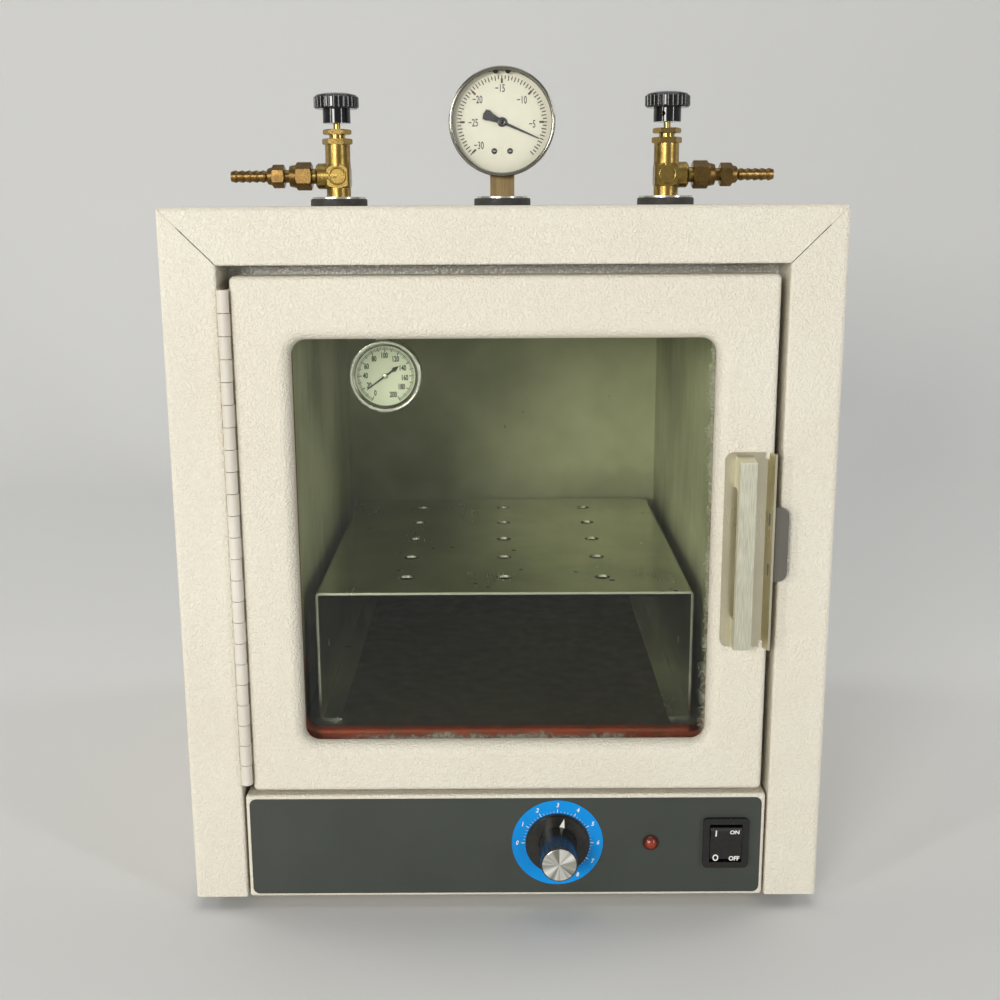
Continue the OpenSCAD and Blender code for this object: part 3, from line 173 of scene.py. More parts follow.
def heatProofEnamel():
    material, add, where = newMaterial("HeatProofGreyGreenEnamel", {})
    broad = add("TexNoise", {"Vector": where, "Scale": perMm(110), "Detail": 3, "Roughness": 0.6})
    cloud = add("MapRange", {"Value": broad, "From Min": 0.38, "From Max": 0.62})
    tone = add("Mix", {0: cloud, 6: chamberEnamel["colour"], 7: chamberEnamel["shade"]}, 2, data_type="RGBA")
    small = add("TexNoise", {"Vector": where, "Scale": perMm(6), "Detail": 5, "Roughness": 0.65})
    spots = add("MapRange", {"Value": small, "From Min": 0.64, "From Max": 0.74, "To Max": 0.5})
    tone = add("Mix", {0: spots, 6: tone, 7: chamberEnamel["stain"]}, 2, data_type="RGBA")
    # baked soot and painted shade: walls and floor darken below the shelf's height, most at the floor, along
    # a ragged edge
    height = add("SeparateXYZ", {0: where}, "Z")
    ragged = add("TexNoise", {"Vector": where, "Scale": perMm(40), "Detail": 4})
    edge = add("Math", {0: ragged, 1: chamberEnamel["raggedMm"] * mm, 2: height}, operation="MULTIPLY_ADD")
    low, high = at(0, 0, chamberEnamel["sootAndShadeTo"]).z, at(0, 0, chamberEnamel["plainFrom"]).z
    aboveSootAndShade = add("MapRange", {"Value": edge, "From Min": low, "From Max": high})
    tone = add("Mix", {0: aboveSootAndShade, 6: chamberEnamel["sootAndShade"], 7: tone}, 2, data_type="RGBA")
    upright = add("Mapping", {"Vector": where, "Scale": (1, 1, 0.12)})
    runs = add("TexNoise", {"Vector": upright, "Scale": perMm(9), "Detail": 3})
    gloss = add("MapRange", {"Value": runs, "From Min": 0.3, "From Max": 0.7, "To Min": 0.38, "To Max": 0.6})
    brushed = add("TexNoise", {"Vector": where, "Scale": perMm(3), "Detail": 3})
    bump = add("Bump", {"Height": brushed, "Distance": 0.05 * mm, "Strength": 0.5})
    return wire(material, {"Base Color": tone, "Roughness": gloss, "Normal": bump})


# Stainless sheet: cold rolled, so its mirror is soft and a little wavy; the shelf has dried drops on it.
# The rolling's streaks are drawn coarser than real ones, so that they show
shelfSteel = {"colour": "#d6d8c9", "dull": "#a9a898", "roughness": 0.17, "dropMm": 11, "drop": "#2e281e"}
plateSteel = {"colour": "#d6cfb6", "dull": "#b0a78e", "roughness": 0.27}


def rolledStainless(name, sheet):
    material, add, where = newMaterial(name, {"Metallic": 1.0})
    rolling = add("Mapping", {"Vector": where, "Scale": (1, 0.03, 0.03)})
    streaks = add("TexNoise", {"Vector": rolling, "Scale": perMm(0.9), "Detail": 3})
    cloud = add("TexNoise", {"Vector": where, "Scale": perMm(45), "Detail": 4, "Roughness": 0.6})
    dull = add("MapRange", {"Value": cloud, "From Min": 0.35, "From Max": 0.7, "To Max": 0.35})
    tone = add("Mix", {0: dull, 6: sheet["colour"], 7: sheet["dull"]}, 2, data_type="RGBA")
    if "dropMm" in sheet:
        cells = add("TexVoronoi", {"Vector": where, "Scale": perMm(sheet["dropMm"])}, "Distance")
        size = add("TexNoise", {"Vector": where, "Scale": perMm(26), "Detail": 1})
        reach = add("MapRange", {"Value": size, "From Min": 0.5, "From Max": 0.7, "To Max": 0.2})
        drops = add("Math", {0: cells, 1: reach}, operation="LESS_THAN")
        tone = add("Mix", {0: drops, 6: tone, 7: sheet["drop"]}, 2, data_type="RGBA")
    grain = add("MapRange", {"Value": streaks, "From Min": 0.3, "From Max": 0.7,
                             "To Min": sheet["roughness"] - 0.02, "To Max": sheet["roughness"] + 0.03})
    blotch = add("MapRange", {"Value": cloud, "From Min": 0.4, "From Max": 0.7, "To Max": 0.1})
    rough = add("Math", {0: grain, 1: blotch}, operation="ADD")
    sag = add("TexNoise", {"Vector": where, "Scale": perMm(60), "Detail": 1})
    bump = add("Bump", {"Height": sag, "Distance": 0.12 * mm, "Strength": 0.5})
    return wire(material, {"Base Color": tone, "Roughness": rough, "Normal": bump})


# Brushed aluminium: a belt leaves fine crossing lines that spread the highlight; they are drawn coarser
# than real ones, so that they show
handleBar = {"dark": "#c9c8b3", "light": "#e6e4cf", "lineMm": 0.35, "slantDegrees": 5}


def brushedAluminium():
    material, add, where = newMaterial("BrushedAluminiumBar", {"Metallic": 1.0, "Anisotropic": 0.5})
    slant = math.radians(handleBar["slantDegrees"])
    strokes = []
    for share, turn, squash in ((1.0, slant, 0.035), (1.6, -0.6 * slant, 0.05)):
        lie = add("Mapping", {"Vector": where, "Scale": (1, 1, squash), "Rotation": (0, turn, 0)})
        strokes.append(add("TexNoise", {"Vector": lie, "Scale": perMm(handleBar["lineMm"] * share),
                                        "Detail": 3}))
    both = add("Math", {0: strokes[0], 1: strokes[1]}, operation="ADD")
    lines = add("MapRange", {"Value": both, "From Min": 0.78, "From Max": 1.22})
    tone = add("Mix", {0: lines, 6: handleBar["dark"], 7: handleBar["light"]}, 2, data_type="RGBA")
    rough = add("MapRange", {"Value": lines, "To Min": 0.36, "To Max": 0.42})
    bump = add("Bump", {"Height": lines, "Distance": 0.002 * mm, "Strength": 0.3})
    return wire(material, {"Base Color": tone, "Roughness": rough, "Normal": bump})


# Spun aluminium: turned on a lathe, so its highlight fans out from the middle, and its colour carries a
# painted highlight of light and dark wedges round the middle too; its rings are drawn coarser than real ones,
# so that they show
knobCap = {"dark": "#9a988c", "light": "#fbfaf4", "ringMm": 0.3, "paintedFanScale": 1.6}


def spunAluminium(centre):
    material, add, where = newMaterial("SpunAluminiumCap", {
        "Metallic": 1.0, "Roughness": 0.24, "Anisotropic": 0.85})
    around = add("Mapping", {"Vector": where, "Location": [-c for c in centre]})
    spread = add("VectorMath", {0: around}, "Value", operation="LENGTH")
    rings = add("TexNoise", {"W": spread, "Scale": perMm(knobCap["ringMm"]), "Detail": 2},
                noise_dimensions="1D")
    across = add("SeparateXYZ", {0: around}, "X")
    upward = add("SeparateXYZ", {0: around}, "Z")
    turn = add("Math", {0: across, 1: upward}, operation="ARCTAN2")
    fan = add("TexNoise", {"W": turn, "Scale": knobCap["paintedFanScale"], "Detail": 3}, noise_dimensions="1D")
    # painted highlight: light and dark wedges round the cap's middle, put into its colour
    paintedFanHighlight = add("MapRange", {"Value": fan, "From Min": 0.38, "From Max": 0.6})
    tone = add("Mix", {0: paintedFanHighlight, 6: knobCap["dark"], 7: knobCap["light"]}, 2, data_type="RGBA")
    tangent = add("Tangent", direction_type="RADIAL", axis="Y")
    bump = add("Bump", {"Height": rings, "Distance": 0.008 * mm, "Strength": 0.5})
    return wire(material, {"Base Color": tone, "Tangent": tangent, "Normal": bump})


# Brass: forged it is grainy and dull, turned it is bright, and handled for years it browns
brasses = {
    "forged": {"bright": "#9f864a", "brown": "#5f4b26", "roughness": 0.27, "grainMm": 0.04, "age": 0.7,
               "along": 1.0},
    "turned": {"bright": "#ae9356", "brown": "#6d552b", "roughness": 0.17, "grainMm": 0.01, "age": 0.5,
               "along": 1.0},
    "browned": {"bright": "#866b3e", "brown": "#43311d", "roughness": 0.24, "grainMm": 0.02, "age": 0.7,
                "along": 1.0},
    "drawn": {"bright": "#a08b63", "brown": "#4c3c27", "roughness": 0.3, "grainMm": 0.03, "age": 0.8,
              "along": 0.1},
}


def agedBrass(name, kind):
    brass = brasses[kind]
    material, add, where = newMaterial(name, {"Metallic": 1.0})
    lie = add("Mapping", {"Vector": where, "Scale": (1, 1, brass["along"])})
    stains = add("TexNoise", {"Vector": lie, "Scale": perMm(7), "Detail": 5, "Roughness": 0.65})
    cloud = add("MapRange", {"Value": stains, "From Min": 0.36, "From Max": 0.68, "To Max": brass["age"]})
    tone = add("Mix", {0: cloud, 6: brass["bright"], 7: brass["brown"]}, 2, data_type="RGBA")
    skin = add("TexNoise", {"Vector": lie, "Scale": perMm(0.8), "Detail": 3})
    both = add("Math", {0: skin, 1: cloud}, operation="ADD")
    rough = add("MapRange", {"Value": both, "From Min": 0.3, "From Max": 1.3,
                             "To Min": brass["roughness"] - 0.05, "To Max": brass["roughness"] + 0.12})
    bump = add("Bump", {"Height": skin, "Distance": brass["grainMm"] * mm, "Strength": 0.6})
    return wire(material, {"Base Color": tone, "Roughness": rough, "Normal": bump})


# Bakelite and ABS: moulded, so smooth and deep black with a sharp highlight and a little dust; the mould's
# grain is drawn coarser than it is, so that it shows
def mouldedPlastic(name, colour, roughness, grainMm, dust):
    material, add, where = newMaterial(name, {"IOR": 1.52})
    motes = add("TexNoise", {"Vector": where, "Scale": perMm(2.5), "Detail": 6, "Roughness": 0.7})
    dusty = add("MapRange", {"Value": motes, "From Min": 0.6, "From Max": 0.8, "To Max": dust})
    tone = add("Mix", {0: dusty, 6: colour, 7: "#8d8a80"}, 2, data_type="RGBA")
    handled = add("TexNoise", {"Vector": where, "Scale": perMm(12), "Detail": 4})
    rough = add("MapRange", {"Value": handled, "From Min": 0.3, "From Max": 0.7, "To Min": roughness - 0.03,
                             "To Max": roughness + 0.06})
    grain = add("TexNoise", {"Vector": where, "Scale": perMm(0.7), "Detail": 2})
    bump = add("Bump", {"Height": grain, "Distance": grainMm * mm, "Strength": 0.5})
    return wire(material, {"Base Color": tone, "Roughness": rough, "Normal": bump})


# Plated steel and chrome: a thin bright skin, mirror smooth or faintly cloudy
def platedSteel(name, colour, roughness, cloudiness):
    material, add, where = newMaterial(name, {"Metallic": 1.0})
    cloud = add("TexNoise", {"Vector": where, "Scale": perMm(9), "Detail": 4, "Roughness": 0.6})
    dull = add("MapRange", {"Value": cloud, "From Min": 0.35, "From Max": 0.7, "To Max": cloudiness})
    tone = add("Mix", {0: dull, 6: colour, 7: "#77766c"}, 2, data_type="RGBA")
    rough = add("MapRange", {"Value": cloud, "From Min": 0.3, "From Max": 0.7, "To Min": roughness,
                             "To Max": roughness + 0.08})
    return wire(material, {"Base Color": tone, "Roughness": rough})


# Foil-faced sheet in the gap round the door: thin, creased and bright, with painted shade darkening its
# creases
foilFacing = {"paintedCreaseShade": "#d2cfc4", "bright": "#fdfcf6", "creaseMm": 1.6}


def creasedFoil():
    material, add, where = newMaterial("CreasedFoilFacing", {"Metallic": 0.3, "Roughness": 0.4})
    creases = add("TexVoronoi", {"Vector": where, "Scale": perMm(foilFacing["creaseMm"])}, "Distance")
    soft = add("TexNoise", {"Vector": where, "Scale": perMm(3), "Detail": 4, "Roughness": 0.6})
    # painted shade: the colour darkens towards the creases between the foil's beads
    shown = add("MapRange", {"Value": creases, "From Min": 0.1, "From Max": 0.5})
    tone = add("Mix", {0: shown, 6: foilFacing["bright"], 7: foilFacing["paintedCreaseShade"]}, 2, data_type="RGBA")
    both = add("Math", {0: creases, 1: soft}, operation="ADD")
    bump = add("Bump", {"Height": both, "Distance": 0.4 * mm, "Strength": 0.8})
    return wire(material, {"Base Color": tone, "Normal": bump})


# Silicone rubber: moulded cord, matt, with pale dust rubbed into it
gasketRubber = {"red": "#9a3a1c", "dark": "#5e2e1f", "dust": "#9a8c7c"}


def siliconeRubber():
    material, add, where = newMaterial("RedSiliconeRubber", {"Roughness": 0.5, "IOR": 1.41})
    broad = add("TexNoise", {"Vector": where, "Scale": perMm(30), "Detail": 5, "Roughness": 0.65})
    patches = add("MapRange", {"Value": broad, "From Min": 0.35, "From Max": 0.7, "To Max": 0.9})
    tone = add("Mix", {0: patches, 6: gasketRubber["red"], 7: gasketRubber["dark"]}, 2, data_type="RGBA")
    rubbed = add("TexNoise", {"Vector": where, "Scale": perMm(2.2), "Detail": 5, "Roughness": 0.7})
    worn = add("MapRange", {"Value": rubbed, "From Min": 0.56, "From Max": 0.74, "To Max": 0.5})
    tone = add("Mix", {0: worn, 6: tone, 7: gasketRubber["dust"]}, 2, data_type="RGBA")
    skin = add("TexNoise", {"Vector": where, "Scale": perMm(1.5), "Detail": 3})
    bump = add("Bump", {"Height": skin, "Distance": 0.08 * mm, "Strength": 0.6})
    return wire(material, {"Base Color": tone, "Normal": bump})


# Black rubber: matt, with chalky bloom in patches
def blackRubber():
    material, add, where = newMaterial("MattBlackRubber", {"Roughness": 0.62, "IOR": 1.5})
    bloom = add("TexNoise", {"Vector": where, "Scale": perMm(5), "Detail": 5, "Roughness": 0.7})
    chalk = add("MapRange", {"Value": bloom, "From Min": 0.5, "From Max": 0.8, "To Max": 0.3})
    tone = add("Mix", {0: chalk, 6: "#2a2824", 7: "#757067"}, 2, data_type="RGBA")
    skin = add("TexNoise", {"Vector": where, "Scale": perMm(0.9), "Detail": 3})
    bump = add("Bump", {"Height": skin, "Distance": 0.05 * mm, "Strength": 0.7})
    return wire(material, {"Base Color": tone, "Normal": bump})


# Tempered glass: clear, so the chamber shows through it and only a faint gloss lies on it
def temperedGlass(name, tint, ior):
    material, add = newMaterial(name, {
        "Base Color": tint, "Roughness": 0.0, "IOR": ior, "Transmission Weight": 1.0})[:2]
    tree = material.node_tree
    # lamps and bounced light pass the pane straight, so what lies behind it is lit
    shadowed = add("LightPath", out="Is Shadow Ray")
    bounced = add("LightPath", out="Is Diffuse Ray")
    straight = add("Math", {0: shadowed, 1: bounced}, operation="MAXIMUM")
    clear = add("BsdfTransparent", {"Color": tint})
    both = add("MixShader", {0: straight, 1: tree.nodes["Principled BSDF"].outputs[0], 2: clear})
    tree.links.new(both, tree.nodes["Material Output"].inputs["Surface"])
    return material


# Lamp lens: amber-red polycarbonate, moulded; its colour is painted brighter and deep in the middle, with
# painted shade towards its rim and painted glints on its prisms
lampLens = {"middle": "#98300e", "rim": "#380d05", "prismMm": 1.1, "radiusMm": 5.0}


def mouldedLens(centre):
    material, add, where = newMaterial("AmberRedLampLens", {
        "Roughness": 0.2, "IOR": 1.5, "Coat Weight": 0.15, "Coat Roughness": 0.04})
    around = add("Mapping", {"Vector": where, "Location": [-c for c in centre]})
    flat = add("VectorMath", {0: around, 1: (1, 0, 1)}, operation="MULTIPLY")
    spread = add("VectorMath", {0: flat}, "Value", operation="LENGTH")
    reach = lampLens["radiusMm"] / 1000
    # painted light: brighter in the middle, shaded towards the rim, with lighter and darker glints on the
    # prisms
    paintedRimShade = add("MapRange", {"Value": spread, "From Min": 0.35 * reach, "From Max": 0.95 * reach})
    prisms = add("TexVoronoi", {"Vector": where, "Scale": perMm(lampLens["prismMm"])}, "Distance")
    paintedPrismGlint = add("MapRange", {"Value": prisms, "From Max": 0.7, "To Min": -0.15, "To Max": 0.15})
    shade = add("Math", {0: paintedRimShade, 1: paintedPrismGlint}, operation="ADD", use_clamp=True)
    tone = add("Mix", {0: shade, 6: lampLens["middle"], 7: lampLens["rim"]}, 2, data_type="RGBA")
    bump = add("Bump", {"Height": prisms, "Distance": 0.06 * mm, "Strength": 0.5})
    return wire(material, {"Base Color": tone, "Normal": bump})


# Printed film: matt ink under a finely grained polyester face, rubbed a little by hands; the grain is drawn
# coarser than it is, so that it shows
def printedFilm(name, colour, worn, roughness, ior):
    material, add, where = newMaterial(name, {"IOR": ior})
    broad = add("TexNoise", {"Vector": where, "Scale": perMm(60), "Detail": 4, "Roughness": 0.6})
    cloud = add("MapRange", {"Value": broad, "From Min": 0.35, "From Max": 0.7})
    tone = add("Mix", {0: cloud, 6: colour, 7: worn}, 2, data_type="RGBA")
    small = add("TexNoise", {"Vector": where, "Scale": perMm(1.6), "Detail": 4, "Roughness": 0.7})
    specks = add("MapRange", {"Value": small, "From Min": 0.68, "From Max": 0.78, "To Max": 0.22})
    tone = add("Mix", {0: specks, 6: tone, 7: "#a9aa9f"}, 2, data_type="RGBA")
    hands = add("TexNoise", {"Vector": where, "Scale": perMm(25), "Detail": 4})
    rough = add("MapRange", {"Value": hands, "From Min": 0.3, "From Max": 0.7, "To Min": roughness,
                             "To Max": roughness + 0.1})
    grain = add("TexNoise", {"Vector": where, "Scale": perMm(0.5), "Detail": 2})
    bump = add("Bump", {"Height": grain, "Distance": 0.01 * mm, "Strength": 0.5})
    return wire(material, {"Base Color": tone, "Roughness": rough, "Normal": bump})


# Dial enamel: printed face, its colour darker and yellower towards the rim, and yellowed in blotches
def dialEnamel(name, colour, rim, centre, reachMm):
    material, add, where = newMaterial(name, {"Roughness": 0.45})
    around = add("Mapping", {"Vector": where, "Location": [-c for c in centre]})
    spread = add("VectorMath", {0: around}, "Value", operation="LENGTH")
    edge = add("MapRange", {"Value": spread, "From Min": reachMm / 2000, "From Max": reachMm / 1000,
                            "To Max": 0.8})
    aged = add("TexNoise", {"Vector": where, "Scale": perMm(8), "Detail": 4})
    blotch = add("MapRange", {"Value": aged, "From Min": 0.45, "From Max": 0.75, "To Max": 0.3})
    rimAndBlotches = add("Math", {0: edge, 1: blotch}, operation="MAXIMUM")
    tone = add("Mix", {0: rimAndBlotches, 6: colour, 7: rim}, 2, data_type="RGBA")
    return wire(material, {"Base Color": tone})


# Printing ink: flat and opaque, worn thin in small specks
def printingInk(name, colour, roughness):
    material, add, where = newMaterial(name, {"Roughness": roughness})
    specks = add("TexNoise", {"Vector": where, "Scale": perMm(1.2), "Detail": 4, "Roughness": 0.7})
    wear = add("MapRange", {"Value": specks, "From Min": 0.6, "From Max": 0.8, "To Max": 0.2})
    tone = add("Mix", {0: wear, 6: colour, 7: "#8a877c"}, 2, data_type="RGBA")
    return wire(material, {"Base Color": tone})


# Glass wool: loose yellow fibre, only seen through the vents
def glassWool():
    material, add, where = newMaterial("YellowGlassWool", {"Roughness": 0.9, "Sheen Weight": 0.4})
    lie = add("Mapping", {"Vector": where, "Scale": (1, 1, 0.3)})
    fibres = add("TexNoise", {"Vector": lie, "Scale": perMm(1.5), "Detail": 6, "Roughness": 0.7})
    thick = add("MapRange", {"Value": fibres, "From Min": 0.35, "From Max": 0.65})
    tone = add("Mix", {0: thick, 6: "#d8c47e", 7: "#b39a55"}, 2, data_type="RGBA")
    bump = add("Bump", {"Height": fibres, "Distance": 1.2 * mm})
    return wire(material, {"Base Color": tone, "Normal": bump})


chamberPaint = heatProofEnamel()
shelfSheet = rolledStainless("RolledStainlessShelf", shelfSteel)
plateSheet = rolledStainless("RolledStainlessPlate", plateSteel)
barMetal = brushedAluminium()
capMetal = spunAluminium(middle("knob_cap"))
forgedBrass = agedBrass("ForgedBrass", "forged")
turnedBrass = agedBrass("TurnedBrass", "turned")
brownBrass = agedBrass("BrownedBrass", "browned")
squareBrass = agedBrass("DrawnBrassBar", "drawn")
bakelite = mouldedPlastic("BlackBakelite", "#0c0c0e", 0.1, 0.003, 0.05)
knobPlastic = mouldedPlastic("BlackMouldedKnob", "#23221f", 0.24, 0.01, 0.16)
switchPlastic = mouldedPlastic("BlackSwitchPlastic", "#161514", 0.24, 0.008, 0.06)
mattPlastic = mouldedPlastic("MattBlackPlastic", "#1b1b1c", 0.5, 0.03, 0.1)
tabPlastic = mouldedPlastic("DarkGreyTab", "#5f5d54", 0.42, 0.02, 0.2)
blackEnamel = mouldedPlastic("BlackEnamelledCase", "#121212", 0.22, 0.004, 0.06)
chrome = platedSteel("ChromedSteelBezel", "#8e8c82", 0.08, 0.2)
zinc = platedSteel("ZincPlatedSteel", "#b4b3ab", 0.3, 0.4)
brightSteel = platedSteel("BrightWasherSteel", "#d5d3ca", 0.2, 0.3)
thermoSteel = platedSteel("PolishedThermometerCase", "#c9cac4", 0.14, 0.3)
foil = creasedFoil()
redSilicone = siliconeRubber()
rubber = blackRubber()
doorGlass = temperedGlass("TemperedDoorGlass", "#f2f4ea", 1.3)
lensGlass = temperedGlass("ClearGaugeLens", "#fbfcfb", 1.35)
amberLens = mouldedLens(middle("pilot_lens"))
overlayFilm = printedFilm("DarkGreyGreenPrintedFilm", "#353a34", "#3c413a", 0.48, 1.5)
blueFilm = printedFilm("BluePrintedRing", "#0098ee", "#008bdc", 0.5, 1.33)
gaugeFace = dialEnamel("CreamDialEnamel", "#efead8", "#e4ddc6", middle("gauge_bezel"), 34)
thermoFace = dialEnamel("PaleThermometerFace", "#fafff4", "#e6efe0", middle("thermometer_pointer"), 20)
blackInk = printingInk("BlackDialInk", "#131311", 0.5)
whiteInk = printingInk("WhitePanelInk", "#f2f0e6", 0.45)
needlePaint = printingInk("BlackNeedlePaint", "#101010", 0.35)
wool = glassWool()
print("materials made:", len(bpy.data.materials))


def finishWith(material, *names):
    for name in names:
        piece = nodes[name]
        if not piece.material_slots:
            piece.data.materials.append(material)
        for slot in piece.material_slots:
            slot.material = material


finishWith(creamPaint, "cabinet_wrap", "cabinet_base", "rear_cover", "door_shell", "control_panel")
finishWith(hingePaint, "hinge_frame_leaf", "hinge_door_leaf")
finishWith(chamberPaint, "chamber")
finishWith(foil, "chamber_fascia")
finishWith(zinc, "rear_screws", "chamber_supports", "glass_holder", "holder_screws", "hinge_pin",
           "handle_screws", "catch_plate", "knob_shaft", "thermostat_bulb", "thermostat_body")
finishWith(wool, "insulation")
finishWith(mattPlastic, "heater_pads", "lamp_body", "catch_magnet", "power_inlet")
finishWith(redSilicone, "door_gasket")
finishWith(doorGlass, "door_glass")
finishWith(plateSheet, "handle_plate")
finishWith(barMetal, "handle_bar")
finishWith(tabPlastic, "handle_tab")
finishWith(overlayFilm, "panel_overlay")
finishWith(blueFilm, "dial_ring")
finishWith(knobPlastic, "control_knob")
finishWith(capMetal, "knob_cap")
finishWith(amberLens, "pilot_lens")
finishWith(switchPlastic, "switch_housing", "switch_rocker")
finishWith(rubber, "feet", "port_bushings")
finishWith(brightSteel, "port_washers")
finishWith(forgedBrass, "left_valve_body", "right_valve_body", "port_nipples")
finishWith(turnedBrass, "valve_bonnets", "packing_nuts", "left_valve_stem", "right_valve_stem")
finishWith(brownBrass, "union_nuts", "left_hose_barb", "right_hose_barb")
finishWith(squareBrass, "gauge_socket")
finishWith(bakelite, "left_valve_knob", "right_valve_knob")
finishWith(blackEnamel, "gauge_case")
finishWith(chrome, "gauge_bezel")
finishWith(gaugeFace, "gauge_dial")
finishWith(needlePaint, "gauge_pointer", "thermometer_pointer")
finishWith(lensGlass, "gauge_lens")
finishWith(shelfSheet, "shelf")
finishWith(thermoSteel, "thermometer_case")

# Worn and folded edges: rounded by this many millimetres, so that they catch a thin line of light
edgeRounds = {"handle_bar": 0.4, "handle_plate": 0.2, "switch_housing": 0.5,
              "switch_rocker": 0.4, "union_nuts": 0.3, "packing_nuts": 0.25, "valve_bonnets": 0.25}
sharpEdge = 38  # degrees between two faces from which their edge counts as sharp


def roundEdges():
    for name, width in edgeRounds.items():
        soften = nodes[name].modifiers.new("wornEdges", "BEVEL")
        soften.width = width / 1000
        soften.segments = 2
        soften.limit_method = "ANGLE"
        soften.angle_limit = math.radians(sharpEdge)
        soften.use_clamp_overlap = True


roundEdges()


def newPiece(name, mesh, material, body):
    piece = bpy.data.objects.new(name, mesh)
    scene.collection.objects.link(piece)
    mesh.materials.append(material)
    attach(piece, body)
    return piece


def place(name, bm, material, body, smooth=False):
    mesh = bpy.data.meshes.new(name)
    bmesh.ops.remove_doubles(bm, verts=bm.verts, dist=1e-6)
    bmesh.ops.recalc_face_normals(bm, faces=bm.faces)
    for facet in bm.faces:
        facet.smooth = smooth
    bm.to_mesh(mesh)
    bm.free()
    newPiece(name, mesh, material, body)


def prism(bm, points, y, thick):
    # a flat plate from points in x and z, its front face at depth y
    front = [bm.verts.new(at(x, y, z)) for x, z in points]
    back = [bm.verts.new(at(x, y + thick, z)) for x, z in points]
    bm.faces.new(front)
    bm.faces.new(list(reversed(back)))
    for i in range(len(points)):
        j = (i + 1) % len(points)
        bm.faces.new([front[j], front[i], back[i], back[j]])


def arc(cx, cz, r, count, start=0.0, end=360.0):
    # points on a circle, degrees clockwise from the top
    step = math.radians(end - start) / count
    first = math.radians(start)
    return [(cx + r * math.sin(first + step * k), cz + r * math.cos(first + step * k))
            for k in range(count if end - start >= 360 else count + 1)]


def turned(bm, cx, cz, front, profile, count):
    # a ring turned about the depth axis, its profile given as radius and depth behind front
    for (r0, d0), (r1, d1) in zip(profile, profile[1:]):
        first, second = arc(cx, cz, r0, count), arc(cx, cz, r1, count)
        for k in range(count):
            j = (k + 1) % count
            bm.faces.new([bm.verts.new(at(x, front + d, z)) for (x, z), d in
                          ((first[k], d0), (first[j], d0), (second[j], d1), (second[k], d1))])


def onSpoke(cx, cz, turn, points):
    # points given outward and sideways from a dial's middle, turned by degrees clockwise from the top
    a = math.radians(turn)
    return [(cx + math.sin(a) * r + math.cos(a) * s, cz + math.cos(a) * r - math.sin(a) * s)
            for r, s in points]


def tick(bm, cx, cz, turn, inner, outer, width, face, ink):
    # a printed stroke that stands as high as its ink on a dial's face
    half = width / 2
    stroke = [(inner, -half), (outer, -half), (outer, half), (inner, half)]
    prism(bm, onSpoke(cx, cz, turn, stroke), face - ink, ink)


# Printed figures: half the thickness of their film, and the share of the type size that their height takes
figurePrint = {"halfFilm": 0.03, "share": 0.72}


def lettering(name, words, material, body, height, spot, squeeze=1.0, slant=0.0, weight=0.0, tilt=0.0):
    # a raised print with figures that many millimetres high, its middle at the spot
    curve = bpy.data.curves.new(name, "FONT")
    curve.body = words
    curve.size = height / figurePrint["share"] / 1000
    curve.extrude = figurePrint["halfFilm"] / 1000
    curve.shear = slant
    curve.offset = weight / 1000
    curve.align_x = "CENTER"
    curve.align_y = "CENTER"
    curve.resolution_u = 3
    holder = bpy.data.objects.new(name + "Curve", curve)
    scene.collection.objects.link(holder)
    bpy.context.view_layer.update()
    mesh = bpy.data.meshes.new_from_object(holder.evaluated_get(bpy.context.evaluated_depsgraph_get()))
    bpy.data.objects.remove(holder)
    mesh.transform(Matrix.Translation(at(*spot)) @ Matrix.Rotation(math.radians(90 + tilt), 4, "X")
                   @ Matrix.Diagonal((squeeze, 1, 1, 1)))
    mesh.name = name
    return newPiece(name, mesh, material, body)


# Vacuum gauge: printed scale, maker's screws and stop tabs on the dial
gaugeScale = {"zero": 135, "perUnit": 9, "lowest": -30, "halfIn": 26.9, "unitIn": 26.2, "out": 29.4,
              "stroke": 0.68, "ink": 0.06, "boldIn": 24.4, "boldOut": 27.4, "bold": 1.3, "boldInk": 0.08,
              "figure": 4.9, "squeeze": 0.62, "weight": 0.07, "figureInk": 0.04,
              "figures": {-30: (-15.3, -15.0), -25: (-18.9, -0.6), -20: (-16.0, 14.0), -15: (-1.2, 21.0),
                          -10: (13.0, 13.7), -5: (19.8, -1.5)}}
gaugeHardware = {"screwX": 5.2, "screwZ": -18.4, "screwR": 1.9, "screwSides": 24, "head": 0.5,
                 "halfSlot": (1.0, 0.25), "slotAt": 0.56, "slot": 0.08, "tabX": 4.0, "tabZ": 31.9,
                 "tabR": 1.9, "tabSides": 14, "tabAt": 0.5, "tab": 0.45}


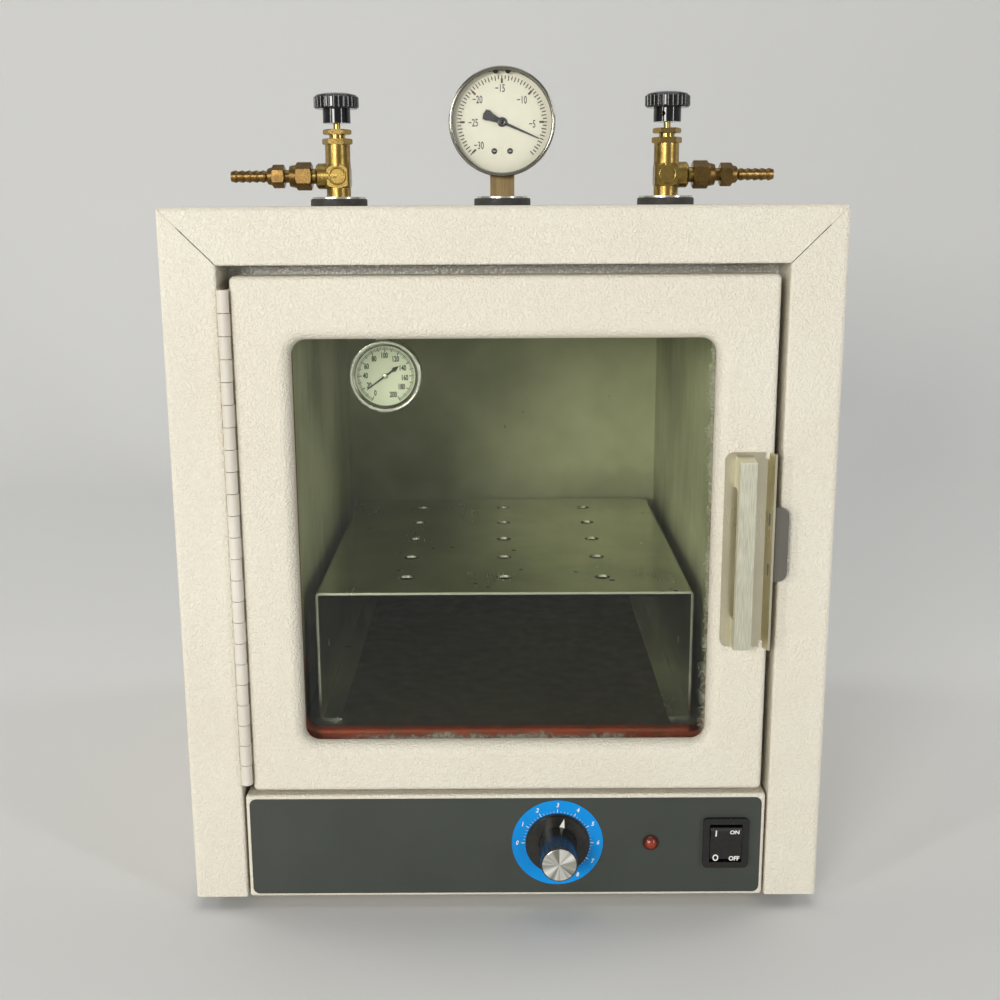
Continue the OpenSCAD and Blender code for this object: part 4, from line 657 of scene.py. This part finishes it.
def makeGaugeScale(scale, parts):
    face = localOf("gauge_dial").front
    cx, cz = centreOf("gauge_dial")
    bm = bmesh.new()
    for half in range(2 * scale["lowest"], 1):
        turn = scale["zero"] + half / 2 * scale["perUnit"]
        inner = scale["halfIn"] if half % 2 else scale["unitIn"]
        tick(bm, cx, cz, turn, inner, scale["out"], scale["stroke"], face, scale["ink"])
        if half % 10 == 0 and half != 0:
            tick(bm, cx, cz, turn, scale["boldIn"], scale["boldOut"], scale["bold"], face, scale["boldInk"])
    place("gaugeTicks", bm, blackInk, "oven")
    for value, (dx, dz) in scale["figures"].items():
        lettering("gaugeFigure%d" % -value, "−%d" % -value, blackInk, "oven", scale["figure"],
                  (cx + dx, face - scale["figureInk"], cz + dz), squeeze=scale["squeeze"],
                  weight=scale["weight"])
    screws, slots, tabs = bmesh.new(), bmesh.new(), bmesh.new()
    lensFront = localOf("gauge_lens").front
    long, high = parts["halfSlot"]
    for s in (-1, 1):
        sx, sz = cx + s * parts["screwX"], cz + parts["screwZ"]
        prism(screws, arc(sx, sz, parts["screwR"], parts["screwSides"]), face - parts["head"], parts["head"])
        prism(slots, [(sx - long, sz - high), (sx + long, sz - high), (sx + long, sz + high),
                      (sx - long, sz + high)],
              face - parts["slotAt"], parts["slot"])
        lowerHalf = arc(cx + s * parts["tabX"], cz + parts["tabZ"], parts["tabR"], parts["tabSides"], 90, 270)
        prism(tabs, lowerHalf, lensFront - parts["tabAt"], parts["tab"])
    place("gaugeDialScrews", screws, blackEnamel, "oven")
    place("gaugeScrewSlots", slots, zinc, "oven")
    place("gaugeStopTabs", tabs, blackEnamel, "oven")


makeGaugeScale(gaugeScale, gaugeHardware)

# Gauge pointer: a boss pressed on its staff and a fan-shaped tail that balances it
pointerTail = {"inner": 2.6, "outer": 11.4, "half": 19, "innerHalf": 14, "proud": 0.05, "thick": 0.3,
               "sides": 32, "bossFoot": 0.7, "boss": [(3.0, 0.0), (3.0, -0.5), (2.6, -0.9), (1.9, -0.95),
                                                      (1.7, -0.75), (1.2, -0.75), (1.0, -1.1), (0.0, -1.15)]}


def makeGaugePointer(shape):
    cx, cz = centreOf("gauge_dial")
    pointer = localOf("gauge_pointer")
    bm = bmesh.new()
    turned(bm, cx, cz, pointer.front + shape["bossFoot"], shape["boss"], shape["sides"])
    place("gaugePointerBoss", bm, needlePaint, "gauge_needle", True)
    tip = math.degrees(math.atan2(pointer.right - cx, pointer.low - cz))
    tail = tip + 180
    bm = bmesh.new()
    fan = arc(cx, cz, shape["outer"], 6, tail - shape["half"], tail + shape["half"])
    foot = arc(cx, cz, shape["inner"], 3, tail - shape["innerHalf"], tail + shape["innerHalf"])
    prism(bm, fan + foot[::-1], pointer.front - shape["proud"], shape["thick"])
    place("gaugePointerTail", bm, needlePaint, "gauge_needle")


makeGaugePointer(pointerTail)

# Thermometer: pale printed face set in the case, scale 0 to 200, and the case's turned rim
thermoScale = {"zero": -150, "perUnit": 1.5, "strokes": 100, "unitsEach": 2, "faceR": 18.8,
               "faceDepth": 3.0, "faceThick": 0.3, "sides": 96,
               "tickOut": 18.0, "tickIn": 16.2, "midIn": 15.6, "longIn": 14.9, "bold": 0.5, "fine": 0.3,
               "ink": 0.04, "figure": 3.4, "squeeze": 0.64, "weight": 0.16, "figureInk": 0.03,
               "figures": {0: (-6.6, -10.8), 20: (-10.3, -5.9), 40: (-12.5, 0.1), 60: (-11.7, 5.9),
                           80: (-6.9, 10.6), 100: (-0.5, 12.7), 120: (6.4, 10.5), 140: (10.7, 4.9),
                           160: (11.9, -1.2), 180: (9.8, -6.9), 200: (4.6, -11.8)},
               "rim": [(22.78, 1.0), (22.48, 0.3), (21.78, 0.0), (21.18, 0.05), (20.68, 0.6), (20.38, 1.5),
                       (19.68, 1.6), (19.28, 2.2), (18.68, 2.6)], "rimProud": 0.04,
               "boss": [(1.6, 0.4), (1.5, 0.1), (1.1, 0.0), (0.0, 0.0)], "bossHigh": 0.4, "bossSides": 24}


def makeThermometerScale(scale):
    # the case's clip stands above it, so its middle is half its width over its lowest point
    case = localOf("thermometer_case")
    cx, cz = (case.left + case.right) / 2, case.low + (case.right - case.left) / 2
    front = case.front + scale["faceDepth"] - scale["faceThick"]
    bm = bmesh.new()
    prism(bm, arc(cx, cz, scale["faceR"], scale["sides"]), front, scale["faceThick"])
    place("thermometerFace", bm, thermoFace, "oven")
    bm = bmesh.new()
    for k in range(0, scale["strokes"] + 1):
        turn = scale["zero"] + scale["unitsEach"] * k * scale["perUnit"]
        inner = scale["longIn" if k % 10 == 0 else "midIn" if k % 5 == 0 else "tickIn"]
        width = scale["bold" if k % 5 == 0 else "fine"]
        tick(bm, cx, cz, turn, inner, scale["tickOut"], width, front, scale["ink"])
    place("thermometerTicks", bm, blackInk, "oven")
    for value, (dx, dz) in scale["figures"].items():
        lettering("thermometerFigure%d" % value, str(value), blackInk, "oven", scale["figure"],
                  (cx + dx, front - scale["figureInk"], cz + dz), squeeze=scale["squeeze"],
                  weight=scale["weight"])
    bm = bmesh.new()
    turned(bm, cx, cz, case.front - scale["rimProud"], scale["rim"], scale["sides"])
    place("thermometerRim", bm, thermoSteel, "oven", True)
    bm = bmesh.new()
    turned(bm, cx, cz, localOf("thermometer_pointer").front - scale["bossHigh"], scale["boss"],
           scale["bossSides"])
    place("thermometerBoss", bm, brightSteel, "thermometer_needle", True)


makeThermometerScale(thermoScale)

# Thermostat: figures and strokes on the blue ring, white arrow on the knob's skirt
thermostatScale = {"zero": -90, "step": 30, "steps": 8, "figureR": 24.4, "figure": 2.7, "squeeze": 0.8,
                   "slant": 0.25, "weight": 0.12, "figureInk": 0.03, "in": 19.7, "out": 21.8,
                   "stroke": 0.4, "fineOut": 20.6, "fine": 0.22, "parts": 5, "ink": 0.04, "setting": 13,
                   "arrowTip": 17.4, "arrowFoot": 10.8, "arrowNotch": 0.9, "arrowHalf": 1.8,
                   "skirtFront": 2.74}


def makeThermostatMarks(scale):
    face = localOf("dial_ring").front
    cx, cz = centreOf("dial_ring")
    bm = bmesh.new()
    for k in range(0, scale["steps"] + 1):
        turn = scale["zero"] + k * scale["step"]
        tick(bm, cx, cz, turn, scale["in"], scale["out"], scale["stroke"], face, scale["ink"])
        (figureX, figureZ), = arc(cx, cz, scale["figureR"], 1, turn, turn + 360)
        lettering("thermostatFigure%d" % k, str(k), whiteInk, "oven", scale["figure"],
                  (figureX, face - scale["figureInk"], figureZ), squeeze=scale["squeeze"],
                  slant=scale["slant"], weight=scale["weight"])
        for part in range(1, scale["parts"] if k < scale["steps"] else 1):
            tick(bm, cx, cz, turn + part * scale["step"] / scale["parts"], scale["in"], scale["fineOut"],
                 scale["fine"], face, scale["ink"])
    place("thermostatStrokes", bm, whiteInk, "oven")
    foot, half = scale["arrowFoot"], scale["arrowHalf"]
    arrow = [(scale["arrowTip"], 0), (foot, half), (foot + scale["arrowNotch"], 0), (foot, -half)]
    bm = bmesh.new()
    prism(bm, onSpoke(cx, cz, scale["setting"], arrow), face - scale["skirtFront"], scale["ink"])
    place("knobArrow", bm, whiteInk, "thermostat_knob")


makeThermostatMarks(thermostatScale)

# Rocker: I and ON above, O and OFF below, printed on its two slopes
rockerMarks = {"lean": 6, "axisY": 3.5, "hollowY": -6.5, "rise": 1.4 / 11.6, "ink": 0.03,
               "weight": 0.13, "marks": [
                   ("rockerI", "I", 4.4, -6.3, 8.2, 0.9), ("rockerOn", "ON", 2.7, 4.8, 9.2, 0.98),
                   ("rockerO", "O", 4.1, -6.0, -8.6, 0.8), ("rockerOff", "OFF", 2.8, 5.2, -9.0, 0.94)]}


def makeRockerMarks(rocker):
    cx, cz = centreOf("switch_housing")
    hinge = at(cx, rocker["axisY"], cz)
    tipped = Matrix.Translation(hinge) @ Matrix.Rotation(math.radians(rocker["lean"]), 4, "X")
    for name, words, height, x, z, squeeze in rocker["marks"]:
        y = rocker["hollowY"] - rocker["rise"] * abs(z) - rocker["ink"]
        slope = math.degrees(math.atan(rocker["rise"])) * (1 if z > 0 else -1)
        piece = lettering(name, words, whiteInk, "rocker", height, (0, 0, 0), squeeze=squeeze,
                          weight=rocker["weight"], tilt=slope)
        onSlope = Matrix.Translation(Vector((x / 1000, y / 1000, z / 1000)))
        piece.data.transform(tipped @ onSlope @ Matrix.Translation(-at(0, 0, 0)))


makeRockerMarks(rockerMarks)
print("dials, scales and marks made")

# Valve bodies: a plain raised ring forged on the front of each block
forgedRing = {"sides": 48, "profile": [(5.9, 0.02), (5.75, -0.28), (5.3, -0.4), (4.85, -0.28), (4.7, 0.02)]}


def makeForgedRings(ring):
    for side in ("left", "right"):
        cx, cz = centreOf(side + "_valve_stem")[0], centreOf(side + "_hose_barb")[1]
        bm = bmesh.new()
        turned(bm, cx, cz, localOf(side + "_valve_body").front, ring["profile"], ring["sides"])
        place(side + "ForgedRing", bm, forgedBrass, "oven", True)


makeForgedRings(forgedRing)

# Mitre seams: paint-filled lines that run on from the open slits to the frame's outer corners
mitre = {"stile": 31.5, "rail": 31.4, "from": 0.655, "to": 0.955, "halfFrom": 0.14, "halfTo": 0.056,
         "proud": 0.03, "thick": 0.05}


def makeMitreSeams(seam):
    wrap = localOf("cabinet_wrap")
    seamPaint = printingInk("PaintFilledSeam", "#b5ad9c", 0.5)
    bm = bmesh.new()
    for s, edge in ((-1, wrap.left), (1, wrap.right)):
        innerX, innerZ = edge - s * seam["stile"], wrap.high - seam["rail"]
        (ax, az), (bx, bz) = [(innerX + s * seam["stile"] * t, innerZ + seam["rail"] * t)
                              for t in (seam["from"], seam["to"])]
        wide, fine = seam["halfFrom"], seam["halfTo"]
        prism(bm, [(ax - s * wide, az + wide), (ax + s * wide, az - wide), (bx + s * fine, bz - fine),
                   (bx - s * fine, bz + fine)],
              wrap.front - seam["proud"], seam["thick"])
    place("mitreSeams", bm, seamPaint, "oven")


makeMitreSeams(mitre)

# Deposits on the pane: pale residue crept in from the seal, thickest along the bottom and the right,
# and loose flecks beyond it. Each strip has its edge, its reach inward and its thickness; it starts tucked
# behind the window's edge, and the bottom ones swell in the middle and fall off towards the corners
deposits = {"colour": "#c3c4b6", "halfWidth": 119.0, "low": 99.7, "high": 338.7, "tuck": 2, "sink": 3,
            "behindPane": 0.05, "apart": 0.02, "rows": 80, "level": 0.62, "swell": 1.08, "fall": 0.4,
            "across": [(0, 1.0), (1, 0.6), (2, 0.0)], "strips": [
                ("bottom", 11.0, 1.08), ("right", 10.0, 1.05), ("left", 5.0, 0.42), ("top", 6.0, 0.4),
                ("right", 60.0, 0.36), ("bottom", 45.0, 0.3)]}


def makeDeposits(film):
    material, add, where = newMaterial("PaleSealResidue", {"Base Color": film["colour"], "Roughness": 0.8})
    flecks = add("TexNoise", {"Vector": where, "Scale": perMm(2.2), "Detail": 6, "Roughness": 0.75,
                              "Distortion": 1.2})
    clouds = add("TexNoise", {"Vector": where, "Scale": perMm(16), "Detail": 3, "Roughness": 0.6})
    crept = add("Attribute", out="Fac", attribute_name="reach")
    amount = add("Math", {0: clouds, 1: 0.5, 2: flecks}, operation="MULTIPLY_ADD")
    amount = add("Math", {0: amount, 1: crept}, operation="ADD")
    shown = add("MapRange", {"Value": amount, "From Min": 1.22, "From Max": 1.42, "To Max": 0.75})
    wire(material, {"Alpha": shown})
    back = localOf("door_glass").back - film["behindPane"]
    halfWidth, low, high = film["halfWidth"], film["low"], film["high"]
    bm = bmesh.new()
    layer = bm.verts.layers.float.new("reach")
    for number, (edge, reach, strength) in enumerate(film["strips"]):
        rows = []
        for k in range(0, film["rows"] + 1):
            t = k / film["rows"]
            swell = film["swell"] - film["fall"] * (2 * t - 1) ** 2 if edge == "bottom" else 1.0
            row = []
            for j, level in film["across"]:
                off = j * reach / 2 - film["tuck"]
                if edge in ("left", "right"):
                    side = 1 if edge == "right" else -1
                    spot = (side * (halfWidth - off), low + t * (high - low))
                else:
                    spot = ((2 * t - 1) * halfWidth,
                            low - film["sink"] + off if edge == "bottom" else high - off)
                vertex = bm.verts.new(at(spot[0], back - film["apart"] * number, spot[1]))
                vertex[layer] = level * strength * swell * film["level"]
                row.append(vertex)
            rows.append(row)
        for a, b in zip(rows, rows[1:]):
            for j in (0, 1):
                bm.faces.new([a[j], b[j], b[j + 1], a[j + 1]])
    place("paneResidue", bm, material, "door")


makeDeposits(deposits)
print("rings, seams and pane residue made")

# Stage: pale floor that sweeps up behind the object
stage = {"floor": "#dcdcda", "rough": 0.6, "half": 3.0, "ahead": 4.0, "behind": 1.5, "bend": 0.5,
         "steps": 16, "height": 2.6}


def makeStage(shape):
    material, add, where = newMaterial("PaleStudioSweep", {
        "Base Color": shape["floor"], "Roughness": shape["rough"]})
    grain = add("TexNoise", {"Vector": where, "Scale": perMm(6), "Detail": 3})
    bump = add("Bump", {"Height": grain, "Distance": 0.02 * mm, "Strength": 0.2})
    wire(material, {"Normal": bump})
    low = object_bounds()[0][2]
    profile = [(-shape["ahead"], low), (shape["behind"] - shape["bend"], low)]
    for k in range(1, shape["steps"] + 1):
        a = math.radians(90 * k / shape["steps"])
        profile.append((shape["behind"] - shape["bend"] + shape["bend"] * math.sin(a),
                        low + shape["bend"] * (1 - math.cos(a))))
    profile.append((shape["behind"], low + shape["height"]))
    bm = bmesh.new()
    rows = [[bm.verts.new((s * shape["half"], y, z)) for s in (-1, 1)] for y, z in profile]
    for a, b in zip(rows, rows[1:]):
        bm.faces.new([a[0], a[1], b[1], b[0]]).smooth = True
    mesh = bpy.data.meshes.new("studioSweep")
    bm.to_mesh(mesh)
    bm.free()
    sweep = bpy.data.objects.new("studioSweep", mesh)
    scene.collection.objects.link(sweep)
    mesh.materials.append(material)
    sweep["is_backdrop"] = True


makeStage(stage)

# Light: a soft lamp a little left of the camera reaches through the pane to the chamber's rear wall and
# throws the shadows to the right; tall ones at the sides draw the stripes on metal and black plastic; wide
# ones beside, above and behind light the cabinet's other faces
lampAim = (0, 0, 0.24)
lampRow = namedtuple("lampRow", "azimuth elevation away size watts colour")
lamps = {
    "keyLamp": lampRow(-22, 12, 3.6, (1.0, 0.9), 60, "#fffdf8"),
    "leftStrip": lampRow(-46, 12, 2.6, (0.18, 1.3), 12, "#fffefb"),
    "rightStrip": lampRow(46, 12, 2.6, (0.18, 1.3), 13, "#fafbff"),
    "topLamp": lampRow(0, 88, 2.4, (2.4, 2.0), 15, "#ffffff"),
    "leftFill": lampRow(-104, 22, 4.4, (2.0, 2.0), 58, "#ffffff"),
    "rightFill": lampRow(104, 22, 4.4, (2.0, 2.0), 58, "#ffffff"),
    "backLamp": lampRow(180, 38, 3.2, (1.6, 1.0), 22, "#ffffff"),
}
# how bright the air round the stage is: to the camera, in reflections, and as light
air = {"colour": "#eef0f2", "camera": 0.85, "mirror": 0.4, "other": 0.08}


def makeLamps():
    aim = Vector(lampAim)
    for name, lamp in lamps.items():
        light = bpy.data.lights.new(name, "AREA")
        light.shape = "RECTANGLE"
        light.size, light.size_y = lamp.size
        light.energy = lamp.watts
        light.color = hexColour(lamp.colour)[:3]
        side, up = math.radians(lamp.azimuth), math.radians(lamp.elevation)
        out = Vector((math.sin(side) * math.cos(up), -math.cos(side) * math.cos(up), math.sin(up)))
        holder = bpy.data.objects.new(name, light)
        holder.location = aim + out * lamp.away
        holder.rotation_euler = (-out).to_track_quat("-Z", "Y").to_euler()
        scene.collection.objects.link(holder)
    world = bpy.data.worlds.new("studioAir")
    scene.world = world
    world.use_nodes = True
    ground = world.node_tree.nodes["Background"]
    add = partial(addNode, world.node_tree)
    ground.inputs[0].default_value = hexColour(air["colour"])
    seen = add("LightPath", out="Is Camera Ray")
    mirrored = add("LightPath", out="Is Glossy Ray")
    through = add("LightPath", out="Is Transmission Ray")
    clear = add("Math", {0: seen, 1: through}, operation="MAXIMUM")
    pale = add("Math", {0: clear, 1: air["camera"] - air["other"], 2: air["other"]},
               operation="MULTIPLY_ADD")
    strength = add("Math", {0: mirrored, 1: air["mirror"] - air["other"], 2: pale}, operation="MULTIPLY_ADD")
    world.node_tree.links.new(strength, ground.inputs[1])


makeLamps()

# Camera: where the photograph was taken from, in millimetres and degrees
shot = {"x": -2.45, "y": -723.9, "z": 411.97, "focalPixels": 1304.9, "widthPixels": 1000, "sensor": 36,
        "pitch": 12.787, "roll": -0.271, "yaw": -0.003}


def makeCamera():
    pitch, roll, yaw = (math.radians(shot[k]) for k in ("pitch", "roll", "yaw"))
    ahead = Vector((math.sin(yaw) * math.cos(pitch), math.cos(yaw) * math.cos(pitch), -math.sin(pitch)))
    level = Vector((math.cos(yaw), -math.sin(yaw), 0))
    upright = level.cross(ahead)
    right = level * math.cos(roll) + upright * math.sin(roll)
    up = upright * math.cos(roll) - level * math.sin(roll)
    camera = bpy.data.cameras.new("photographCamera")
    camera.sensor_width = shot["sensor"]
    camera.lens = shot["sensor"] * shot["focalPixels"] / shot["widthPixels"]
    camera.clip_start = 0.01
    holder = bpy.data.objects.new("photographCamera", camera)
    turn = Matrix((right, up, -ahead)).transposed().to_4x4()
    holder.matrix_world = Matrix.Translation(at(shot["x"], shot["y"], shot["z"])) @ turn
    scene.collection.objects.link(holder)
    scene.camera = holder


makeCamera()
print("stage, lamps and camera made")
